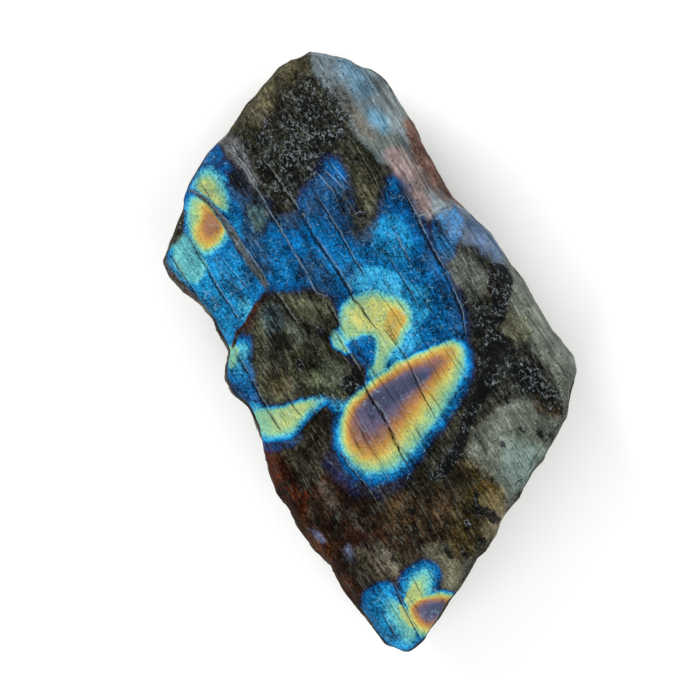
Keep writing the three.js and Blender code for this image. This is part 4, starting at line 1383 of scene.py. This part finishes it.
def shape_surface(piece, settings):
    """Breaks up the surface of the stone and marks its zones on it as attributes."""
    mesh = piece.data
    points, normals = read_points(mesh)
    plan = points[:, :2]
    fine = EDGE_WANDER * np.stack((bumps(points, 1.5, 1), bumps(points, 1.5, 2)), axis=1)
    wide = EDGE_WANDER * np.stack((bumps(points, 4.0, 8), bumps(points, 4.0, 9)), axis=1)
    below_face = face_height(plan) - points[:, 2]
    adrift = np.clip(below_face - DRIFT_DEPTH, 0.0, DRIFT_SPAN)[:, None] * wide
    ragged = plan + fine + FLASH_DRIFT * adrift
    stained = plan + STAIN_FINE * fine + STAIN_WIDE * wide + STAIN_DRIFT * adrift
    wander = DEPTH_WANDER * bumps(points, 6.0, 10)
    girdle = GIRDLE_HEIGHT / MM
    rise = ease(girdle + RISE_SPAN[0], girdle + RISE_SPAN[1], points[:, 2] + wander)
    face_share = ease(*FACE_SLOPES, normals[:, 2]) * rise
    shallow, deep = STAIN_DEPTHS
    stained_share = ease(*STAIN_SLOPES, normals[:, 2]) * ease(deep, shallow, below_face + wander)
    near_face = ease(FLASH_DEPTH + FLASH_FADE, FLASH_DEPTH, below_face + FLASH_DEPTH_SHARE * wander)
    flash = flash_field(ragged, near_face * stained_share)
    soot = soot_density(stained * 0.6 + ragged * 0.4) * near_face
    crack = stroke_field(ragged * 0.4 + plan * 0.6, [row[1:] for row in CRACKS], CRACK_REACH)
    # Each ledge's paleness is the strength of the painted highlight along its edge
    edge = stroke_field(
        ragged * 0.5 + plan * 0.5,
        [(width, pale, line) for _, width, _, pale, line in LEDGES], CRACK_REACH)
    scratch = stroke_field(plan, [(SCRATCH_WIDTH, 1.0, line) for line in SCRATCHES], CRACK_REACH)

    across, along = across_and_along(plan)
    cleaved = np.stack((across, along * 0.12, points[:, 2] * 0.3), axis=1)
    relief = settings.face_relief / MM * (bumps(cleaved, 0.9, 3) + WIDE_WAVE_SHARE * bumps(cleaved, 2.6, 4))
    relief += settings.face_relief / MM * UNEVEN_SHARE * bumps(points, 1.1, 5)
    relief += step_heights(plan)
    relief -= settings.pit_depth / MM * soot * np.abs(bumps(points, 0.75, 6) + PIT_OFFSET)
    relief += settings.pit_depth / MM * CRUST_SHARE * flash[:, 2] * bumps(points, 1.4, 7)
    groove = ease(1.6, 0.4, np.abs(crack[:, 0])) * crack[:, 1] * crack[:, 2]
    relief -= GROOVE_DEPTH * groove
    calm = 1.0 - CALM_SHARE * ease(girdle + CALM_SPAN[0], girdle + CALM_SPAN[1], points[:, 2])
    breaks = calm * side_breaks(points, settings.break_depth / MM)
    moved = points + normals * (relief * face_share + breaks * (1.0 - face_share))[:, None]
    moved[:, 2] = np.maximum(moved[:, 2], 0.0)
    mesh.vertices.foreach_set("co", (moved * MM).ravel())
    mesh.update()

    # The ground colours hold painted light on the crown face, the right rim and the lower ledge's band
    write_attribute(mesh, "ground", "FLOAT_COLOR", ground_colours(stained, settings.base_colour))
    write_attribute(mesh, "flash", "FLOAT_VECTOR", flash)
    for strokes in (crack, edge, scratch):
        strokes[:, 0] = 0.5 + strokes[:, 0] / (2 * MOST_HALF_WIDTHS)
        strokes[:, 1] *= face_share
    write_attribute(mesh, "crack", "FLOAT_VECTOR", crack)
    write_attribute(mesh, "edge", "FLOAT_VECTOR", edge)
    write_attribute(mesh, "scratch", "FLOAT_VECTOR", scratch)
    surface = np.stack((soot * stained_share, 1.0 - stained_share, 1.0 - face_share), axis=1)
    write_attribute(mesh, "surface", "FLOAT_VECTOR", surface)


def write_attribute(mesh, name, kind, values):
    """Stores a vector or a colour on each point of the mesh."""
    field = {"FLOAT_VECTOR": "vector", "FLOAT_COLOR": "color"}[kind]
    mesh.attributes.new(name, kind, "POINT").data.foreach_set(field, np.asarray(values).ravel())


# ---------------------------------------------------------------------------------------------
# Materials
# ---------------------------------------------------------------------------------------------

def add_node(tree, kind, inputs=None, stops=None, **choices):
    """Adds one node with its settings. An input takes a number, a colour or another socket;
    stops are the places and hex colours or grey values of a colour ramp."""
    node = tree.nodes.new(kind)
    for name, value in choices.items():
        setattr(node, name, value)
    for key, value in (inputs or {}).items():
        if isinstance(value, bpy.types.NodeSocket):
            tree.links.new(value, node.inputs[key])
        else:
            node.inputs[key].default_value = value
    if stops:
        elements = node.color_ramp.elements
        while len(elements) < len(stops):
            elements.new(1.0)
        for element, (place, colour) in zip(elements, stops):
            element.position = place
            element.color = linear(colour) if isinstance(colour, str) else (colour, colour, colour, 1.0)
    return node


def cleaved_labradorite(settings):
    """Labradorite, cleaved with a hammer and left rough.

    Its face is a stack of glassy cleavage sheets, so it is streaked in one direction and shows
    colour from thin layers within; its sides are dull, granular breaks with paler, greener grey.
    """
    material = bpy.data.materials.new("labradorite, cleaved and broken")
    material.use_nodes = True
    tree = material.node_tree
    tree.nodes.clear()

    def add(kind, inputs=None, stops=None, **choices):
        return add_node(tree, kind, inputs, stops, **choices).outputs

    here = add("ShaderNodeTexCoord")["Object"]
    marks = {"ground": add("ShaderNodeAttribute", attribute_name="ground")["Color"]}
    for name, fields in MARKED.items():
        stored = add("ShaderNodeAttribute", attribute_name=name)["Vector"]
        for field, output in zip(fields, add("ShaderNodeSeparateXYZ", {0: stored})):
            marks[field] = output

    # Noises in the cleavage's own frame, and what their values stand for
    for name, (size, detail, roughness, stretch, stops) in PATTERNS.items():
        place = add("ShaderNodeMapping", {
            "Vector": here,
            "Rotation": (0.0, 0.0, math.radians(CLEAVAGE_DEGREES)),
            "Scale": [size * MM * share for share in stretch],
        }, vector_type="TEXTURE")[0]
        marks[name] = add("ShaderNodeTexNoise", {
            "Vector": place, "Scale": 1.0, "Detail": detail, "Roughness": roughness})[0]
        if stops:
            marks[name] = add("ShaderNodeValToRGB", {0: marks[name]}, stops)[0]
    marks["specks"] = add("ShaderNodeValToRGB", {0: add("ShaderNodeTexVoronoi", {
        "Vector": here, "Scale": 1 / (SPECK_SPACING * MM)})["Distance"]}, [(0.08, 1.0), (0.20, 0.0)])[0]
    for name, (constant, shares) in SUMS.items():
        marks[name] = constant
        for part, share in shares.items():
            marks[name] = add("ShaderNodeMath", {0: marks[part], 1: share, 2: marks[name]},
                              operation="MULTIPLY_ADD")[0]
    for name, (source, stops) in RAMPS.items():
        marks[name] = add("ShaderNodeValToRGB", {0: marks[source]}, stops)[0]

    # Where the feldspar is pale it is clear and smooth; where it is dark it is crowded and grainy
    light = add("ShaderNodeMix", {0: marks["clear"], 6: marks["grainy light"], 7: marks["clear light"]},
                data_type="RGBA")[2]
    light = add("ShaderNodeMix", {0: marks["cloudy"], 6: light, 7: marks["cloud light"]},
                data_type="RGBA", blend_type="MULTIPLY")[2]
    side = add("ShaderNodeMix", {0: 0.5, 6: marks["weathering"], 7: tuple(settings.side_colour)},
               data_type="RGBA")[2]

    # The flash: thin layers in the crystal return one colour at a time, evenly in the brightest.
    # It is drawn as a fixed colour, so it does not come and go as the real one does.
    glow = add("ShaderNodeMix", {0: marks["even"], 6: marks["uneven glow"], 7: linear("#e2e2e2")},
               data_type="RGBA")[2]
    flash = add("ShaderNodeMix", {0: 1.0, 6: marks["flash colour"], 7: glow},
                data_type="RGBA", blend_type="MULTIPLY")[2]

    side_light = add("ShaderNodeMix", {0: 0.6, 6: light, 7: marks["clear light"]},
                     data_type="RGBA")[2]
    lit = []
    for colour, shade in ((marks["ground"], light), (side, side_light)):
        lit.append(add("ShaderNodeMix", {0: 1.0, 6: colour, 7: shade},
                       data_type="RGBA", blend_type="MULTIPLY")[2])

    # What lies over the feldspar, and the painted highlights of ledges and cracks, from the bottom up:
    # factors of its cover, and its colour
    layers = [
        (("fibres", "tufts", "dark ground"), linear("#8a9186")),
        (("specks", 0.7), linear("#0e0d0a")),
        (("dense soot", 0.9), tuple(settings.soot_colour)),
        (("lint", "pieces", "tufts", "sooty", 0.75), linear("#828b92")),
        (("fresh break", 0.85), lit[1]),
        (("reached", "whole"), flash),
        (("reached", "whole", "scallops", "chips", 0.3), linear("#9fd2e8")),
        (("reached", "whole", "specks", 0.5), linear("#06121a")),
        (("hairlines", 0.55), linear("#0c0c0b")),
        # Painted highlight: pale grey along the edge of each ledge
        (("on edge", "edge window", "edge highlight", "gaps"), linear("#77858c")),
        # Painted highlight, pale, on one side of each crack
        (("painted lip highlight", "crack window", "crack weight", "gaps", 0.45), linear("#8b9490")),
        (("on crack", "crack window", "crack weight", "part gaps"), linear("#0d0b09")),
        (("on scratch", "scratch window", 0.25), linear("#c4ccd0")),
    ]
    face = lit[0]
    for factors, colour in layers:
        cover = 1.0
        for factor in factors:
            cover = add("ShaderNodeMath", {0: cover, 1: marks.get(factor, factor)},
                        operation="MULTIPLY")[0]
        face = add("ShaderNodeMix", {0: cover, 6: face, 7: colour}, data_type="RGBA")[2]

    height = 0.0
    for name, share in RELIEF.items():
        height = add("ShaderNodeMath", {0: marks[name], 1: share, 2: height},
                     operation="MULTIPLY_ADD")[0]
    bump = add("ShaderNodeBump", {
        "Height": height, "Distance": RELIEF_DISTANCE * MM, "Strength": RELIEF_STRENGTH})[0]
    shader = add("ShaderNodeBsdfPrincipled", {
        "Base Color": face, "Roughness": marks["roughness"], "Normal": bump,
        "IOR": FELDSPAR_IOR, "Specular IOR Level": FELDSPAR_SPECULAR,
    })["BSDF"]
    add("ShaderNodeOutputMaterial", {"Surface": shader})
    return material


def matt_board(settings):
    """Matt painted board for the floor: even and plain, so that only the stone is looked at."""
    material = bpy.data.materials.new("matt painted board")
    material.use_nodes = True
    tree = material.node_tree
    tree.nodes.clear()
    shader = add_node(tree, "ShaderNodeBsdfPrincipled", {
        "Base Color": tuple(settings.floor_colour), "Roughness": 0.9, "Specular IOR Level": 0.0})
    add_node(tree, "ShaderNodeOutputMaterial", {"Surface": shader.outputs["BSDF"]})
    return material


# ---------------------------------------------------------------------------------------------
# Operators and panel
# ---------------------------------------------------------------------------------------------

class LABRADORITE_OT_stone(bpy.types.Operator):
    """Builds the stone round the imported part: its mesh, its zones and its material"""

    bl_idname = "labradorite.stone"
    bl_label = "Build Stone"

    def execute(self, context):
        settings = context.scene.labradorite_stone
        piece = even_copy(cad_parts[NODE], settings.mesh_size)
        refine_face(piece)
        shape_surface(piece, settings)
        if not piece.data.polygons:
            raise RuntimeError("the stone's mesh came out empty")
        piece.data.materials.clear()
        piece.data.materials.append(cleaved_labradorite(settings))
        piece.data.shade_smooth()
        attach(piece, BODY)
        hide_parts(NODE)
        return {"FINISHED"}


def soft_box(name, place, target, width, power):
    """A square area light at place, turned to look at target."""
    light = bpy.data.lights.new(name, "AREA")
    light.shape = "SQUARE"
    light.size = width
    light.energy = power
    lamp = bpy.data.objects.new(name, light)
    lamp.location = place
    lamp.rotation_euler = (Vector(target) - Vector(place)).to_track_quat("-Z", "Y").to_euler()
    bpy.context.scene.collection.objects.link(lamp)
    return lamp


class LABRADORITE_OT_stage(bpy.types.Operator):
    """Lays the floor under the stone and sets the lights and the camera over it"""

    bl_idname = "labradorite.stage"
    bl_label = "Build Stage"

    def execute(self, context):
        scene = context.scene
        settings = scene.labradorite_stage
        floor_shape = bmesh.new()
        bmesh.ops.create_grid(floor_shape, x_segments=1, y_segments=1, size=settings.floor_width / 2)
        floor_mesh = bpy.data.meshes.new("floor")
        floor_shape.to_mesh(floor_mesh)
        floor_shape.free()
        floor_mesh.materials.append(matt_board(settings))
        floor = bpy.data.objects.new("floor", floor_mesh)
        scene.collection.objects.link(floor)

        middle = (0.0, 0.0, GIRDLE_HEIGHT)
        for name, (x, y, z), width, power in SOFT_BOXES:
            soft_box(name, (x, y, z), middle, width, power)
        world = bpy.data.worlds.new("pale room")
        world.use_nodes = True
        world.node_tree.nodes["Background"].inputs["Color"].default_value = (1.0, 1.0, 1.0, 1.0)
        world.node_tree.nodes["Background"].inputs["Strength"].default_value = ROOM_LIGHT
        scene.world = world
        scene.view_settings.view_transform = "Standard"

        camera_data = bpy.data.cameras.new("camera over the stone")
        camera_data.lens = settings.lens
        camera_data.sensor_width = SENSOR_WIDTH
        camera_data.clip_end = CLIP_END
        camera = bpy.data.objects.new("camera over the stone", camera_data)
        reach = settings.view_width * settings.lens / SENSOR_WIDTH
        camera.location = (VIEW_CENTRE[0] * MM, VIEW_CENTRE[1] * MM, GIRDLE_HEIGHT + reach)
        scene.collection.objects.link(camera)
        scene.camera = camera
        return {"FINISHED"}


class LABRADORITE_PT_panel(bpy.types.Panel):
    """Lists the steps that build the stone and its stage, with their settings"""

    bl_label = "Rough Labradorite"
    bl_idname = "LABRADORITE_PT_panel"
    bl_space_type = "VIEW_3D"
    bl_region_type = "UI"
    bl_category = "Labradorite"

    def draw(self, context):
        layout = self.layout
        scene = context.scene
        for settings, operator in (
            (scene.labradorite_stone, LABRADORITE_OT_stone),
            (scene.labradorite_stage, LABRADORITE_OT_stage),
        ):
            box = layout.box()
            for name in settings.__annotations__:
                box.prop(settings, name)
            box.operator(operator.bl_idname)


CLASSES = (
    StoneSettings,
    StageSettings,
    LABRADORITE_OT_stone,
    LABRADORITE_OT_stage,
    LABRADORITE_PT_panel,
)


def register():
    for cls in CLASSES:
        bpy.utils.register_class(cls)
    bpy.types.Scene.labradorite_stone = bpy.props.PointerProperty(type=StoneSettings)
    bpy.types.Scene.labradorite_stage = bpy.props.PointerProperty(type=StageSettings)


def unregister():
    del bpy.types.Scene.labradorite_stage
    del bpy.types.Scene.labradorite_stone
    for cls in reversed(CLASSES):
        bpy.utils.unregister_class(cls)


def main():
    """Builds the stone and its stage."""
    register()
    bpy.ops.labradorite.stone()
    bpy.ops.labradorite.stage()


if __name__ == "__main__":
    main()
